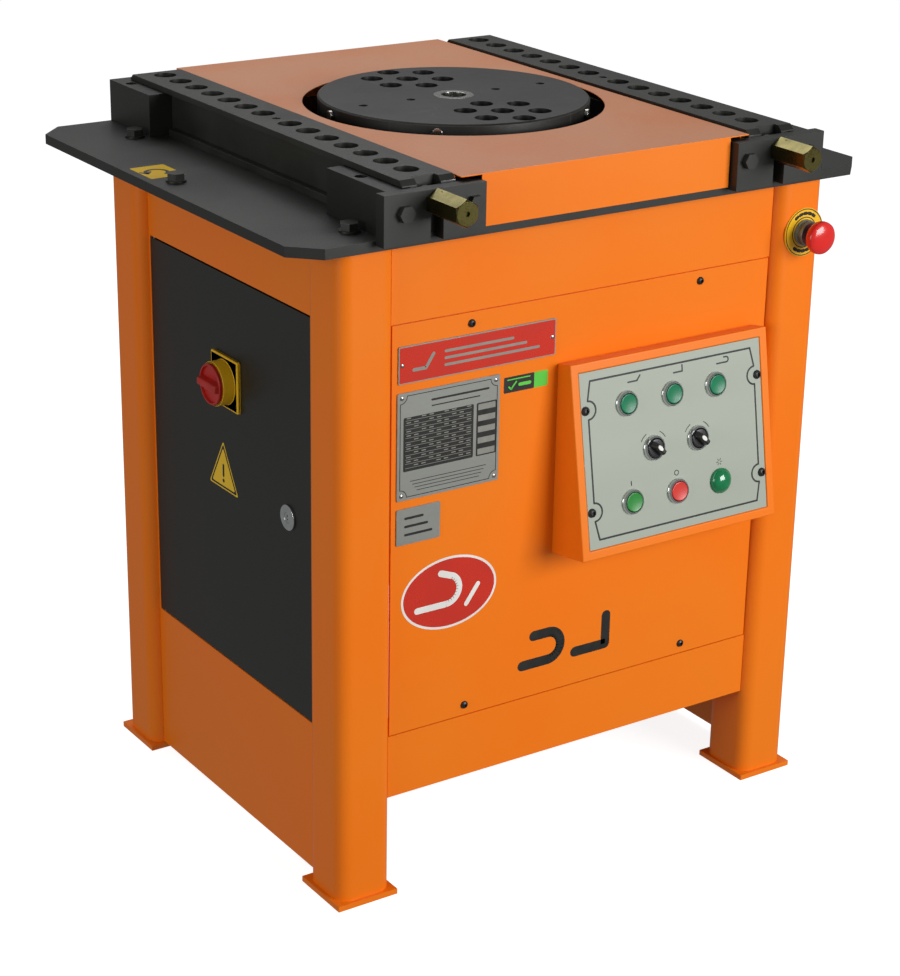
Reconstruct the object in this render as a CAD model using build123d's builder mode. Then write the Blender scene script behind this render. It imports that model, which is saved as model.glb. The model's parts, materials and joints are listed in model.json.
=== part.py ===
"""Rebar bending table: steel cabinet, slotted rails and a geared turntable.

Millimetres, +Z up, the front faces -Y. The origin is on the floor, under the middle
of the whole table.
"""

import math
import os

from build123d import *

# ---- overall sizes ----
FRAME_W = 682.0
FRAME_D = 552.0
DECK_Z = 796.0
DECK_T = 12.0
DECK_WING = 57.0
DECK_FRONT_Y = -289.0
DECK_BACK_Y = 362.0
DECK_CORNER = 31.0

# ---- legs and sheet work ----
LEG_W = 72.0
LEG_D = 76.0
LEG_WALL = 4.0
LEG_ROUND = 18.0
FOOT_T = 7.0
FOOT_PROUD = 5.0
FOOT_INSIDE = 4.0
SHEET_T = 3.0
FRONT_RECESS = 12.0
SIDE_RECESS = 14.6
PANEL_FLOOR_GAP = 8.0
LIP_H = 22.0
SEAM_GAP = 1.5
TOP_RAIL_Z = 702.5
LOW_RAIL_TOP_Z = 201.5
LOW_RAIL_BOTTOM_Z = 122.0
LOW_RETURN_D = 66.0
LOW_RETURN_DROP = 40.0
TOP_FLANGE_D = 34.0
VENT_W = 90.0
VENT_H = 7.0
VENT_PITCH = 22.0
VENT_ROWS = 8
VENT_TOP_Z = 560.0

# ---- rails, blocks and spindles ----
RAIL_IN_X = 204.0
RAIL_W = 68.0
RAIL_FOOT_W = 58.0
RAIL_LIP_T = 7.5
RAIL_FRONT_Y = -288.0
RAIL_LEN = 634.0
RAIL_RISE = 60.0
RAIL_END_CHAMFER = 10.0
SOCKET_D = 28.0
SOCKET_DEPTH = 45.0
SOCKET_PITCH = 41.5
SOCKETS_A_SIDE = 7
SOCKET_MID_Y = 37.0
LOCATING_HOLE_D = 10.0
LOCATING_HOLE_DEPTH = 20.0
SLIDE_GAP = 0.3
BLOCK_W = 31.0
BLOCK_RISE = 52.0
BLOCK_FRONT_LEN = 120.0
BLOCK_BACK_LEN = 108.0
BLOCK_HOLE_D = 14.0
BLOCK_HOLE_IN = 69.0
BLOCK_HOLE_EDGE = 12.5
GUIDE_W = 26.0
GUIDE_RISE = 50.0
STRIP_H = 9.0
STRIP_W = 9.0
STRIP_END_GAP = 8.0
FRONT_PLATE_T = 16.0
FRONT_PLATE_W = 130.0
FRONT_PLATE_OFF = 2.0
FRONT_PLATE_DROP = 5.0
SPINDLE_RISE = 37.0
NECK_D = 16.0
COLLAR_D = 26.0
COLLAR_T = 10.0
SCREW_D = 16.0
SCREW_LEN = 35.0
SCREW_BORE_EXTRA = 4.0
HEX_AF = 27.0
HEX_LEN = 56.7
HEX_CHAMFER = 2.0
CENTRE_MARK_D = 6.0
PIN_D = 6.0
PIN_FROM_ROOT = 12.0
RUN_GAP = 0.05
POCKET_GAP = 2.0
PLATE_BOLT_AF = 17.0
PLATE_BOLT_HEAD = 7.0
PLATE_BOLT_D = 10.0
PLATE_BOLT_IN = 26.0
PLATE_BOLT_LEN = 34.0
PLATE_BOLT_RISE = 30.0
DECK_BOLT_AF = 19.0
DECK_BOLT_HEAD = 8.0
DECK_BOLT_D = 12.0
DECK_BOLT_LEN = 30.0
DECK_BOLT_OUT = 4.0
DECK_BOLT_FRONT_OUT = 4.0
DECK_BOLT_BACK_OUT = 26.0
WING_BOLT_IN = 30.0
WING_BOLT_Y = 42.0
WASHER_T = 2.5
WASHER_PROUD = 2.5
LEG_PAD_T = 12.0

# ---- top cover ----
COVER_RISE = 57.5
COVER_T = 1.5
COVER_EDGE_GAP = 4.0
COVER_SKIRT_Y = -293.0
COVER_SKIRT_HALF_W = 173.0
COVER_SKIRT_DROP = 2.0
COVER_HOLE_GAP = 18.0
COVER_BACK_GAP = 2.0

# ---- turntable ----
TABLE_Y = 22.0
TABLE_R = 165.0
TABLE_RISE = 66.0
TABLE_T = 42.0
TABLE_EDGE = 2.0
CLUSTER_RIM = 3.0
CLUSTER_PITCH = 44.0
CLUSTER_DEPTH = 36.0
TAP_IN_R = 61.5
TAP_OUT_IN = 36.5
TAP_D = 11.0
TAP_DEPTH = 22.0
BUSH_OUT_D = 50.0
BUSH_BORE_D = 30.0
FLANGE_PROUD = 12.0
FLANGE_T = 10.0
SHAFT_D = 60.0
SHAFT_LOW_Z = 682.0
TRIP_D = 9.0
TRIP_HEAD_D = 12.0
TRIP_HEAD_T = 5.0
TRIP_DEPTH = 16.0
TRIP_RISE = 56.0
TRIP_ANGLES = (122.0, 176.0, 230.0, 308.0)

# ---- gearbox, belt drive and motor ----
GEAR_MODULE = 4.0
GEAR_TEETH = 60
PINION_TEETH = 18
GEAR_T = 38.0
GEAR_Z = 716.0
BACKLASH = 0.9
PRESSURE_ANGLE = 20.0
CASE_MARGIN = 16.0
CASE_WALL = 8.0
CASE_LOW_Z = 688.0
CASE_FLOOR = 16.0
BUSH_WALL = 10.0
TOP_BUSH_LEN = 30.0
PINION_SHAFT_D = 30.0
PINION_BUSH_WALL = 7.0
PULLEY_T = 34.0
PULLEY_Z = 640.0
DRIVEN_PULLEY_R = 94.0
MOTOR_PULLEY_R = 40.0
GROOVE_DEPTH = 9.0
GROOVE_FLOOR_W = 12.0
GROOVE_TOP_W = 14.0
BELT_W = 11.0
BELT_T = 7.0
BELT_GAP = 0.4
MOTOR_X = -80.0
MOTOR_SHAFT_D = 28.0
MOTOR_FLANGE_R = 100.0
MOTOR_FLANGE_T = 12.0
MOTOR_BODY_R = 78.0
MOTOR_FIN_R = 86.0
MOTOR_FIN_T = 3.0
MOTOR_FINS = 24
MOTOR_BODY_LEN = 220.0
MOTOR_COWL_LEN = 60.0
TERMINAL_BOX_W = 100.0
TERMINAL_BOX_D = 46.0
TERMINAL_BOX_H = 90.0
HANGER_T = 10.0
HANGER_FRONT_Y = -140.0
HANGER_BACK_Y = 184.0
HANGER_X0 = -190.0
HANGER_X1 = 20.0
HANGER_FOOT = 24.0

# ---- electrics ----
EPLATE_X = -232.0
EPLATE_T = 3.0
EPLATE_HALF_Y = 165.0
EPLATE_LOW_Z = 260.0
EPLATE_FLANGE = 25.0
CONTACTOR_W = 45.0
CONTACTOR_H = 80.0
CONTACTOR_D = 56.0
CONTACTOR_COUNT = 4
CONTACTOR_PITCH = 60.0
CONTACTOR_Z = 330.0
SWITCH_BODY = 60.0

# ---- control box on the front ----
BOX_X0 = -42.0
BOX_X1 = 250.0
BOX_TOP_Z = 620.0
BOX_LOW_Z = 384.0
BOX_TOP_D = 24.0
BOX_LOW_D = 63.0
BOX_TOP_RISE = 4.0
BOX_LOW_RISE = 10.0
BOX_BORDER = 11.0
BOX_SKIN = 3.0
PANEL_PROUD = -1.0
PANEL_T = 2.0
BUTTON_COLUMN = 67.0
BUTTON_ROW = 59.0
SELECTOR_X = 33.0
BEZEL_D = 29.0
BEZEL_BORE_D = 24.5
BEZEL_T = 3.5
CAP_D = 23.5
CAP_PROUD = 5.5
CAP_STEM_D = 12.0
CAP_STEM_LEN = 10.0
KNOB_D = 22.0
KNOB_T = 5.0
KNOB_GRIP_W = 8.0
KNOB_GRIP_T = 11.0
PANEL_SCREW_U = 128.5
PANEL_SCREW_V = 60.5
SCREW_HEAD_D = 9.0
SCREW_HEAD_T = 3.0
SCREW_SHANK_D = 5.0
SCREW_SHANK_LEN = 8.0
COVER_SCREW_X = 163.0
COVER_SCREW_IN = 13.0

# ---- emergency stop ----
ESTOP_OUT = 5.0
ESTOP_Z = 730.0
ESTOP_LABEL_D = 60.0
ESTOP_LABEL_T = 1.5
ESTOP_COLLAR_D = 32.0
ESTOP_COLLAR_T = 12.0
ESTOP_STEM_D = 16.0
ESTOP_HEAD_D = 40.0
ESTOP_HEAD_T = 17.0
ESTOP_DOME_H = 6.0
ESTOP_HEAD_GAP = 9.0
ESTOP_BODY_DEPTH = 30.0

# ---- door, isolator and lock ----
DOOR_FRONT_Y = -190.0
DOOR_BACK_Y = 195.0
DOOR_LOW_Z = 204.0
DOOR_TOP_Z = 700.0
DOOR_GAP = 2.0
DOOR_DEPTH = 15.0
DOOR_SKIN = 2.0
OPENING_LIP = 10.0
PIVOT_IN = 4.0
PIVOT_D = 5.0
PIVOT_LEN = 20.0
PIVOT_BLOCK = 10.0
ISOLATOR_Y = 4.0
ISOLATOR_Z = 570.0
ISOLATOR_SIDE = 64.0
ISOLATOR_T = 5.0
ISOLATOR_ROUND = 3.0
ISOLATOR_BOSS_R = 27.0
ISOLATOR_BOSS_T = 20.0
ISOLATOR_DISC_T = 5.0
ISOLATOR_CHAMFER = 1.5
ISOLATOR_GRIP_R = 25.0
ISOLATOR_GRIP_T = 5.0
ISOLATOR_BAR_W = 17.0
ISOLATOR_SHAFT_D = 9.0
ISOLATOR_SHAFT_LEN = 26.0
LOCK_Y = -138.0
LOCK_Z = 446.0
LOCK_BEZEL_D = 31.0
LOCK_BEZEL_T = 3.0
LOCK_BARREL_D = 18.0
LOCK_CORE_D = 12.0
LOCK_BODY_LEN = 16.0
CAM_LEN = 66.0
CAM_W = 16.0
CAM_T = 3.0

# ---- plates ----
PLATE_T = 1.5
NAME_PLATE = (-260.0, -47.0, 632.0, 676.0)
DATA_PLATE = (-261.0, -123.0, 494.0, 622.0)
MARK_PLATE = (-261.0, -202.0, 440.0, 484.0)
RIVET_D = 5.0
RIVET_T = 1.2
RIVET_IN = 6.0
GLAND_D = 24.0
GLAND_LEN = 22.0
GLAND_BORE_D = 12.0
GLAND_X = -220.0
GLAND_Z = 240.0

# ---- derived places ----
half_w = FRAME_W / 2
half_d = FRAME_D / 2
deck_top = DECK_Z + DECK_T
leg_mid_x = half_w - LEG_W / 2
leg_mid_y = half_d - LEG_D / 2
deck_half_w = half_w + DECK_WING
rail_top_z = deck_top + RAIL_RISE
block_top_z = deck_top + BLOCK_RISE
guide_top_z = deck_top + GUIDE_RISE
front_plate_low_z = deck_top - FRONT_PLATE_DROP
spindle_z = deck_top + SPINDLE_RISE
plate_bolt_z = deck_top + PLATE_BOLT_RISE
cover_top_z = deck_top + COVER_RISE
cover_skirt_low_z = deck_top - COVER_SKIRT_DROP
table_top_z = deck_top + TABLE_RISE
trip_z = deck_top + TRIP_RISE
cover_hole_r = TABLE_R + COVER_HOLE_GAP
flange_r = TABLE_R + FLANGE_PROUD
cluster_r = TABLE_R - CLUSTER_RIM - SOCKET_D / 2 - CLUSTER_PITCH
tap_out_r = TABLE_R - TAP_OUT_IN
wing_bolt_x = deck_half_w - WING_BOLT_IN
deck_bolt_x = leg_mid_x + DECK_BOLT_OUT
deck_bolt_front_y = -leg_mid_y - DECK_BOLT_FRONT_OUT
deck_bolt_back_y = leg_mid_y + DECK_BOLT_BACK_OUT
leg_in_x = half_w - LEG_W
leg_in_y = half_d - LEG_D
face_y = -half_d + FRONT_RECESS
side_x = half_w - SIDE_RECESS
rail_mid_x = RAIL_IN_X + RAIL_W / 2
front_plate_mid_x = rail_mid_x + FRONT_PLATE_OFF
foot_out_x = RAIL_IN_X + RAIL_FOOT_W
rail_low = deck_top + SLIDE_GAP
block_in_x = foot_out_x + SLIDE_GAP
guide_out_x = RAIL_IN_X - SLIDE_GAP
front_plate_low_x = front_plate_mid_x - FRONT_PLATE_W / 2
front_plate_face = DECK_FRONT_Y - FRONT_PLATE_T
table_low = table_top_z - TABLE_T
pitch_main = GEAR_MODULE * GEAR_TEETH / 2
pitch_pinion = GEAR_MODULE * PINION_TEETH / 2
pinion_x = pitch_main + pitch_pinion
mesh_angle = math.pi + math.pi / PINION_TEETH
case_r = pitch_main + GEAR_MODULE + CASE_MARGIN
case_x1 = pinion_x + pitch_pinion + GEAR_MODULE + CASE_MARGIN
pulley_mid = PULLEY_Z + PULLEY_T / 2
hanger_top = PULLEY_Z - 12.0
motor_face = hanger_top - HANGER_T
box_front_top = (face_y - BOX_TOP_D, BOX_TOP_Z + BOX_TOP_RISE)
box_front_low = (face_y - BOX_LOW_D, BOX_LOW_Z + BOX_LOW_RISE)
box_rise = box_front_top[1] - box_front_low[1]
box_run = box_front_top[0] - box_front_low[0]
box_slope = math.hypot(box_rise, box_run)
box_mid_x = (BOX_X0 + BOX_X1) / 2
panel_w = BOX_X1 - BOX_X0 - 2 * BOX_BORDER
panel_h = box_slope - 2 * BOX_BORDER
box_front = Plane(
    origin=(
        box_mid_x,
        (box_front_top[0] + box_front_low[0]) / 2,
        (box_front_top[1] + box_front_low[1]) / 2,
    ),
    x_dir=(1, 0, 0),
    z_dir=(0, -box_rise, box_run),
)
panel_face = box_front.offset(PANEL_PROUD)
door_x = -side_x
pivot_x = door_x + PIVOT_IN
pivot_y = DOOR_BACK_Y - PIVOT_IN
estop_x = leg_mid_x + ESTOP_OUT
estop_face = Plane(origin=(estop_x, -half_d, ESTOP_Z), x_dir=(1, 0, 0), z_dir=(0, -1, 0))


def brick(x0, x1, y0, y1, z0, z1, mode=Mode.ADD):
    """One square-edged block between two corners, in the part being built."""
    with Locations((min(x0, x1), min(y0, y1), min(z0, z1))):
        Box(abs(x1 - x0), abs(y1 - y0), abs(z1 - z0), align=(Align.MIN,) * 3, mode=mode)


def post(x, y, radius, z0, z1, mode=Mode.ADD):
    """One upright round bar, or a round hole with mode=Mode.SUBTRACT."""
    with Locations((x, y, z0)):
        Cylinder(radius, z1 - z0, align=(Align.CENTER, Align.CENTER, Align.MIN), mode=mode)


def stub(plane, u, v, radius, low, high, mode=Mode.ADD):
    """One round bar or hole square to a plane, between two heights over it."""
    with BuildSketch(plane.offset(low)) as ring:
        with Locations((u, v)):
            Circle(radius)
    extrude(to_extrude=ring.sketch, amount=high - low, mode=mode)


def front(x, y, z):
    """A plane that looks forward, at the given point."""
    return Plane(origin=(x, y, z), x_dir=(1, 0, 0), z_dir=(0, -1, 0))


def cluster(side):
    """Centres of one hexagon of sockets with its middle, side -1 or +1 along Y."""
    middle = TABLE_Y + side * cluster_r
    spots = [(0.0, middle)]
    for step in range(6):
        angle = math.radians(90 + 60 * step)
        x = CLUSTER_PITCH * math.cos(angle)
        spots.append((x, middle + CLUSTER_PITCH * math.sin(angle)))
    return spots


def gear_outline(teeth, x, start):
    """Points of a spur gear with involute flanks on the table's middle line.

    start is the angle of its first tooth from +X.
    """
    pitch_r = GEAR_MODULE * teeth / 2
    base_r = pitch_r * math.cos(math.radians(PRESSURE_ANGLE))
    tip_r = pitch_r + GEAR_MODULE
    root_r = pitch_r - 1.25 * GEAR_MODULE
    start_r = max(base_r, root_r)

    def turn(radius):
        roll = math.sqrt(max((radius / base_r) ** 2 - 1, 0))
        return roll - math.atan(roll)

    half_tooth = math.pi / (2 * teeth) - BACKLASH / (2 * pitch_r) + turn(pitch_r)
    steps = 4
    radii = [start_r + (tip_r - start_r) * n / steps for n in range(steps + 1)]
    points = []
    for tooth in range(teeth):
        middle = start + 2 * math.pi * tooth / teeth
        flank = [(r, half_tooth - turn(r)) for r in radii]
        left = [(root_r, -half_tooth)] + [(r, -a) for r, a in flank]
        right = [(r, a) for r, a in reversed(flank)] + [(root_r, half_tooth)]
        for r, a in left + right:
            points.append((x + r * math.cos(middle + a), TABLE_Y + r * math.sin(middle + a)))
    return points


def grooved_wheel(radius, x):
    """A two-groove belt pulley round an upright axis at x."""
    pitch = PULLEY_T / 2
    with BuildSketch(Plane.XZ.offset(-TABLE_Y)) as half:
        with BuildLine():
            points = [(x, PULLEY_Z), (x + radius, PULLEY_Z)]
            for row in range(2):
                middle = PULLEY_Z + pitch * (row + 0.5)
                points.append((x + radius, middle - GROOVE_TOP_W / 2))
                points.append((x + radius - GROOVE_DEPTH, middle - GROOVE_FLOOR_W / 2))
                points.append((x + radius - GROOVE_DEPTH, middle + GROOVE_FLOOR_W / 2))
                points.append((x + radius, middle + GROOVE_TOP_W / 2))
            points += [(x + radius, PULLEY_Z + PULLEY_T), (x, PULLEY_Z + PULLEY_T)]
            Polyline(*points, close=True)
        make_face()
    revolve(half.sketch, axis=Axis((x, TABLE_Y, 0), (0, 0, 1)), revolution_arc=360)


# ================= cabinet =================

with BuildPart() as legs:
    for sx in (-1, 1):
        for sy in (-1, 1):
            with BuildSketch(Plane.XY.offset(FOOT_T)) as tube:
                with Locations((sx * leg_mid_x, sy * leg_mid_y)):
                    RectangleRounded(LEG_W, LEG_D, LEG_ROUND)
                    RectangleRounded(
                        LEG_W - 2 * LEG_WALL,
                        LEG_D - 2 * LEG_WALL,
                        LEG_ROUND - LEG_WALL,
                        mode=Mode.SUBTRACT,
                    )
            extrude(amount=DECK_Z - FOOT_T)
            with BuildSketch(Plane.XY.offset(DECK_Z - LEG_PAD_T)):
                with Locations((sx * leg_mid_x, sy * leg_mid_y)):
                    RectangleRounded(LEG_W - LEG_WALL, LEG_D - LEG_WALL, LEG_ROUND - LEG_WALL / 2)
            extrude(amount=LEG_PAD_T)
            brick(
                sx * (half_w + FOOT_PROUD),
                sx * (leg_in_x - FOOT_INSIDE),
                sy * (half_d + FOOT_PROUD),
                sy * (leg_in_y - FOOT_INSIDE),
                0,
                FOOT_T,
            )
    for sx in (-1, 1):
        for y in (deck_bolt_front_y, deck_bolt_back_y):
            post(sx * deck_bolt_x, y, DECK_BOLT_D / 2, DECK_Z - LEG_PAD_T - 1, DECK_Z, Mode.SUBTRACT)
    stub(estop_face, 0, 0, ESTOP_STEM_D / 2 + 3, -LEG_WALL - 1, 1, Mode.SUBTRACT)

with BuildPart() as front_top_rail:
    brick(-leg_in_x, leg_in_x, face_y, face_y + SHEET_T, TOP_RAIL_Z, DECK_Z)
    brick(-leg_in_x, leg_in_x, face_y, face_y + TOP_FLANGE_D, DECK_Z - SHEET_T, DECK_Z)
    lip_y = face_y + SHEET_T
    brick(-leg_in_x, leg_in_x, lip_y, lip_y + SHEET_T, TOP_RAIL_Z - LIP_H, TOP_RAIL_Z + LIP_H / 2)
    for x in (-COVER_SCREW_X, COVER_SCREW_X):
        top_screw_z = TOP_RAIL_Z - SEAM_GAP - COVER_SCREW_IN
        stub(
            front(x, face_y, top_screw_z), 0, 0, SCREW_SHANK_D / 2, -2 * SHEET_T - 1, 1,
            Mode.SUBTRACT,
        )

with BuildPart() as front_bottom_rail:
    with BuildSketch(Plane.YZ.offset(-leg_in_x)):
        with BuildLine():
            Polyline(
                (face_y, LOW_RAIL_TOP_Z),
                (face_y, LOW_RAIL_BOTTOM_Z),
                (face_y + LOW_RETURN_D, LOW_RAIL_BOTTOM_Z - LOW_RETURN_DROP),
                (face_y + LOW_RETURN_D, LOW_RAIL_BOTTOM_Z - LOW_RETURN_DROP + SHEET_T),
                (face_y + SHEET_T, LOW_RAIL_BOTTOM_Z + SHEET_T),
                (face_y + SHEET_T, LOW_RAIL_TOP_Z),
                close=True,
            )
        make_face()
    extrude(amount=2 * leg_in_x)
    brick(
        -leg_in_x, leg_in_x, lip_y, lip_y + SHEET_T,
        LOW_RAIL_TOP_Z - LIP_H / 2, LOW_RAIL_TOP_Z + LIP_H,
    )
    low_screw_z = LOW_RAIL_TOP_Z + SEAM_GAP + COVER_SCREW_IN
    for x in (-COVER_SCREW_X, COVER_SCREW_X):
        stub(
            front(x, face_y, low_screw_z), 0, 0, SCREW_SHANK_D / 2, -2 * SHEET_T - 1, 1,
            Mode.SUBTRACT,
        )

with BuildPart() as front_cover:
    brick(
        -leg_in_x + SEAM_GAP, leg_in_x - SEAM_GAP, face_y, face_y + SHEET_T,
        LOW_RAIL_TOP_Z + SEAM_GAP, TOP_RAIL_Z - SEAM_GAP,
    )
    for x in (-COVER_SCREW_X, COVER_SCREW_X):
        for z in (low_screw_z, top_screw_z):
            stub(front(x, face_y, z), 0, 0, SCREW_SHANK_D / 2, -SHEET_T - 1, 1, Mode.SUBTRACT)

with BuildPart() as left_side_panel:
    brick(door_x, door_x + SHEET_T, -leg_in_y, leg_in_y, PANEL_FLOOR_GAP, DECK_Z)
    opening_y0 = DOOR_FRONT_Y - DOOR_GAP
    opening_y1 = DOOR_BACK_Y + DOOR_GAP
    opening_low = DOOR_LOW_Z - DOOR_GAP
    opening_top = DOOR_TOP_Z + DOOR_GAP
    lip_t = SHEET_T / 2
    brick(
        door_x + SHEET_T, door_x + SHEET_T + OPENING_LIP, opening_y0 - lip_t, opening_y1 + lip_t,
        opening_low - lip_t, opening_top + lip_t,
    )
    brick(
        door_x - 1, door_x + SHEET_T + OPENING_LIP + 1, opening_y0, opening_y1,
        opening_low, opening_top, Mode.SUBTRACT,
    )

with BuildPart() as right_side_panel:
    brick(side_x - SHEET_T, side_x, -leg_in_y, leg_in_y, PANEL_FLOOR_GAP, DECK_Z)

with BuildPart() as back_panel:
    brick(-leg_in_x, leg_in_x, -face_y - SHEET_T, -face_y, LOW_RAIL_BOTTOM_Z, DECK_Z)
    for row in range(VENT_ROWS):
        for x in (-VENT_W, VENT_W):
            z = VENT_TOP_Z - VENT_PITCH * row
            brick(
                x - VENT_W / 2, x + VENT_W / 2, -face_y - SHEET_T - 1, -face_y + 1,
                z - VENT_H / 2, z + VENT_H / 2, Mode.SUBTRACT,
            )
    stub(front(GLAND_X, -face_y, GLAND_Z), 0, 0, GLAND_D / 3, -1, SHEET_T + 1, Mode.SUBTRACT)

with BuildPart() as cable_gland:
    gland_back = front(GLAND_X, -face_y, GLAND_Z)
    with BuildSketch(gland_back.offset(-GLAND_LEN / 3)):
        RegularPolygon(GLAND_D / 2, 6)
    extrude(amount=GLAND_LEN / 3)
    stub(gland_back, 0, 0, GLAND_D / 2 - 3, -GLAND_LEN, -GLAND_LEN / 3)
    stub(gland_back, 0, 0, GLAND_D / 3, 0, SHEET_T)
    stub(gland_back, 0, 0, GLAND_D / 2, SHEET_T, SHEET_T + 4)
    stub(gland_back, 0, 0, GLAND_BORE_D / 2, -GLAND_LEN - 1, SHEET_T + 5, Mode.SUBTRACT)

# ================= deck =================

with BuildPart() as base_plate:
    with BuildSketch(Plane.XY.offset(DECK_Z)):
        with Locations((0, (DECK_FRONT_Y + DECK_BACK_Y) / 2)):
            deck = Rectangle(2 * deck_half_w, DECK_BACK_Y - DECK_FRONT_Y)
        chamfer(deck.vertices(), DECK_CORNER)
    extrude(amount=DECK_T)
    post(0, TABLE_Y, SHAFT_D / 2 + BUSH_WALL, DECK_Z - 1, deck_top + 1, Mode.SUBTRACT)
    post(
        pinion_x, TABLE_Y, PINION_SHAFT_D / 2 + PINION_BUSH_WALL,
        DECK_Z - 1, deck_top + 1, Mode.SUBTRACT,
    )
    for sx in (-1, 1):
        for y in (deck_bolt_front_y, deck_bolt_back_y):
            post(sx * deck_bolt_x, y, DECK_BOLT_D / 2, DECK_Z - 1, deck_top + 1, Mode.SUBTRACT)
        post(
            sx * wing_bolt_x, WING_BOLT_Y, DECK_BOLT_D / 2, DECK_Z - 1, deck_top + 1,
            Mode.SUBTRACT,
        )

with BuildPart() as corner_blocks:
    front_hole_y = DECK_FRONT_Y + BLOCK_HOLE_IN
    back_hole_y = DECK_BACK_Y - BLOCK_BACK_LEN / 3
    for sx in (-1, 1):
        hole_x = sx * (block_in_x + BLOCK_W - BLOCK_HOLE_EDGE)
        brick(
            sx * block_in_x, sx * (block_in_x + BLOCK_W), DECK_FRONT_Y,
            DECK_FRONT_Y + BLOCK_FRONT_LEN, deck_top, block_top_z,
        )
        brick(
            sx * block_in_x, sx * (block_in_x + BLOCK_W), DECK_BACK_Y - BLOCK_BACK_LEN,
            DECK_BACK_Y, deck_top, block_top_z,
        )
        for y in (front_hole_y, back_hole_y):
            post(hole_x, y, BLOCK_HOLE_D / 2, deck_top, block_top_z + 1, Mode.SUBTRACT)
        out_x = front_plate_mid_x + FRONT_PLATE_W / 2 - PLATE_BOLT_IN
        stub(
            front(sx * out_x, DECK_FRONT_Y, plate_bolt_z), 0, 0, PLATE_BOLT_D / 2,
            -PLATE_BOLT_LEN, 1, Mode.SUBTRACT,
        )

with BuildPart() as rail_guides:
    in_x = guide_out_x - GUIDE_W
    for sx in (-1, 1):
        brick(
            sx * in_x, sx * guide_out_x, DECK_FRONT_Y, RAIL_FRONT_Y + RAIL_LEN,
            deck_top, guide_top_z,
        )
        stub(
            front(sx * (front_plate_low_x + PLATE_BOLT_IN / 2 + 3), DECK_FRONT_Y, plate_bolt_z),
            0, 0, PLATE_BOLT_D / 2, -PLATE_BOLT_LEN, 1, Mode.SUBTRACT,
        )
        brick(
            sx * (foot_out_x + SLIDE_GAP), sx * (foot_out_x + SLIDE_GAP + STRIP_W),
            DECK_FRONT_Y + BLOCK_FRONT_LEN + STRIP_END_GAP,
            DECK_BACK_Y - BLOCK_BACK_LEN - STRIP_END_GAP, deck_top, deck_top + STRIP_H,
        )


def front_plate(side):
    """The plate that holds one spindle, with its slot open below."""
    x = side * front_plate_mid_x
    half = FRONT_PLATE_W / 2
    brick(
        x - half, x + half, front_plate_face, DECK_FRONT_Y, front_plate_low_z, block_top_z
    )
    hole = front(side * rail_mid_x, DECK_FRONT_Y, spindle_z)
    stub(hole, 0, 0, NECK_D / 2 + RUN_GAP, -1, FRONT_PLATE_T + 1, Mode.SUBTRACT)
    slot = NECK_D / 2 + RUN_GAP
    brick(
        side * rail_mid_x - slot, side * rail_mid_x + slot, front_plate_face - 1,
        DECK_FRONT_Y + 1, front_plate_low_z - 1, spindle_z, Mode.SUBTRACT,
    )
    for bolt_x in plate_bolt_xs(side):
        stub(
            front(bolt_x, DECK_FRONT_Y, plate_bolt_z), 0, 0, PLATE_BOLT_D / 2, -1,
            FRONT_PLATE_T + 1, Mode.SUBTRACT,
        )


def plate_bolt_xs(side):
    """Where the two bolts of a front plate go."""
    return (
        side * (front_plate_low_x + PLATE_BOLT_IN / 2 + 3),
        side * (front_plate_mid_x + FRONT_PLATE_W / 2 - PLATE_BOLT_IN),
    )


with BuildPart() as left_front_plate:
    front_plate(-1)

with BuildPart() as right_front_plate:
    front_plate(1)

with BuildPart() as hex_bolts:
    for side in (-1, 1):
        for bolt_x in plate_bolt_xs(side):
            face = front(bolt_x, front_plate_face, plate_bolt_z)
            with BuildSketch(face):
                RegularPolygon(PLATE_BOLT_AF / 2, 6, major_radius=False)
            extrude(amount=PLATE_BOLT_HEAD)
            stub(face, 0, 0, PLATE_BOLT_D / 2, -FRONT_PLATE_T - PLATE_BOLT_LEN + 6, 0)
        spots = [
            (side * deck_bolt_x, deck_bolt_front_y),
            (side * deck_bolt_x, deck_bolt_back_y),
            (side * wing_bolt_x, WING_BOLT_Y),
        ]
        for x, y in spots:
            post(x, y, DECK_BOLT_AF / 2 + WASHER_PROUD, deck_top, deck_top + WASHER_T)
            with BuildSketch(Plane.XY.offset(deck_top + WASHER_T)):
                with Locations((x, y)):
                    RegularPolygon(DECK_BOLT_AF / 2, 6, major_radius=False)
            extrude(amount=DECK_BOLT_HEAD)
            post(x, y, DECK_BOLT_D / 2, deck_top - DECK_T - LEG_PAD_T, deck_top)
        with BuildSketch(Plane.XY.offset(DECK_Z - DECK_BOLT_HEAD)):
            with Locations((side * wing_bolt_x, WING_BOLT_Y)):
                RegularPolygon(DECK_BOLT_AF / 2, 6, major_radius=False)
        extrude(amount=DECK_BOLT_HEAD)


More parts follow.
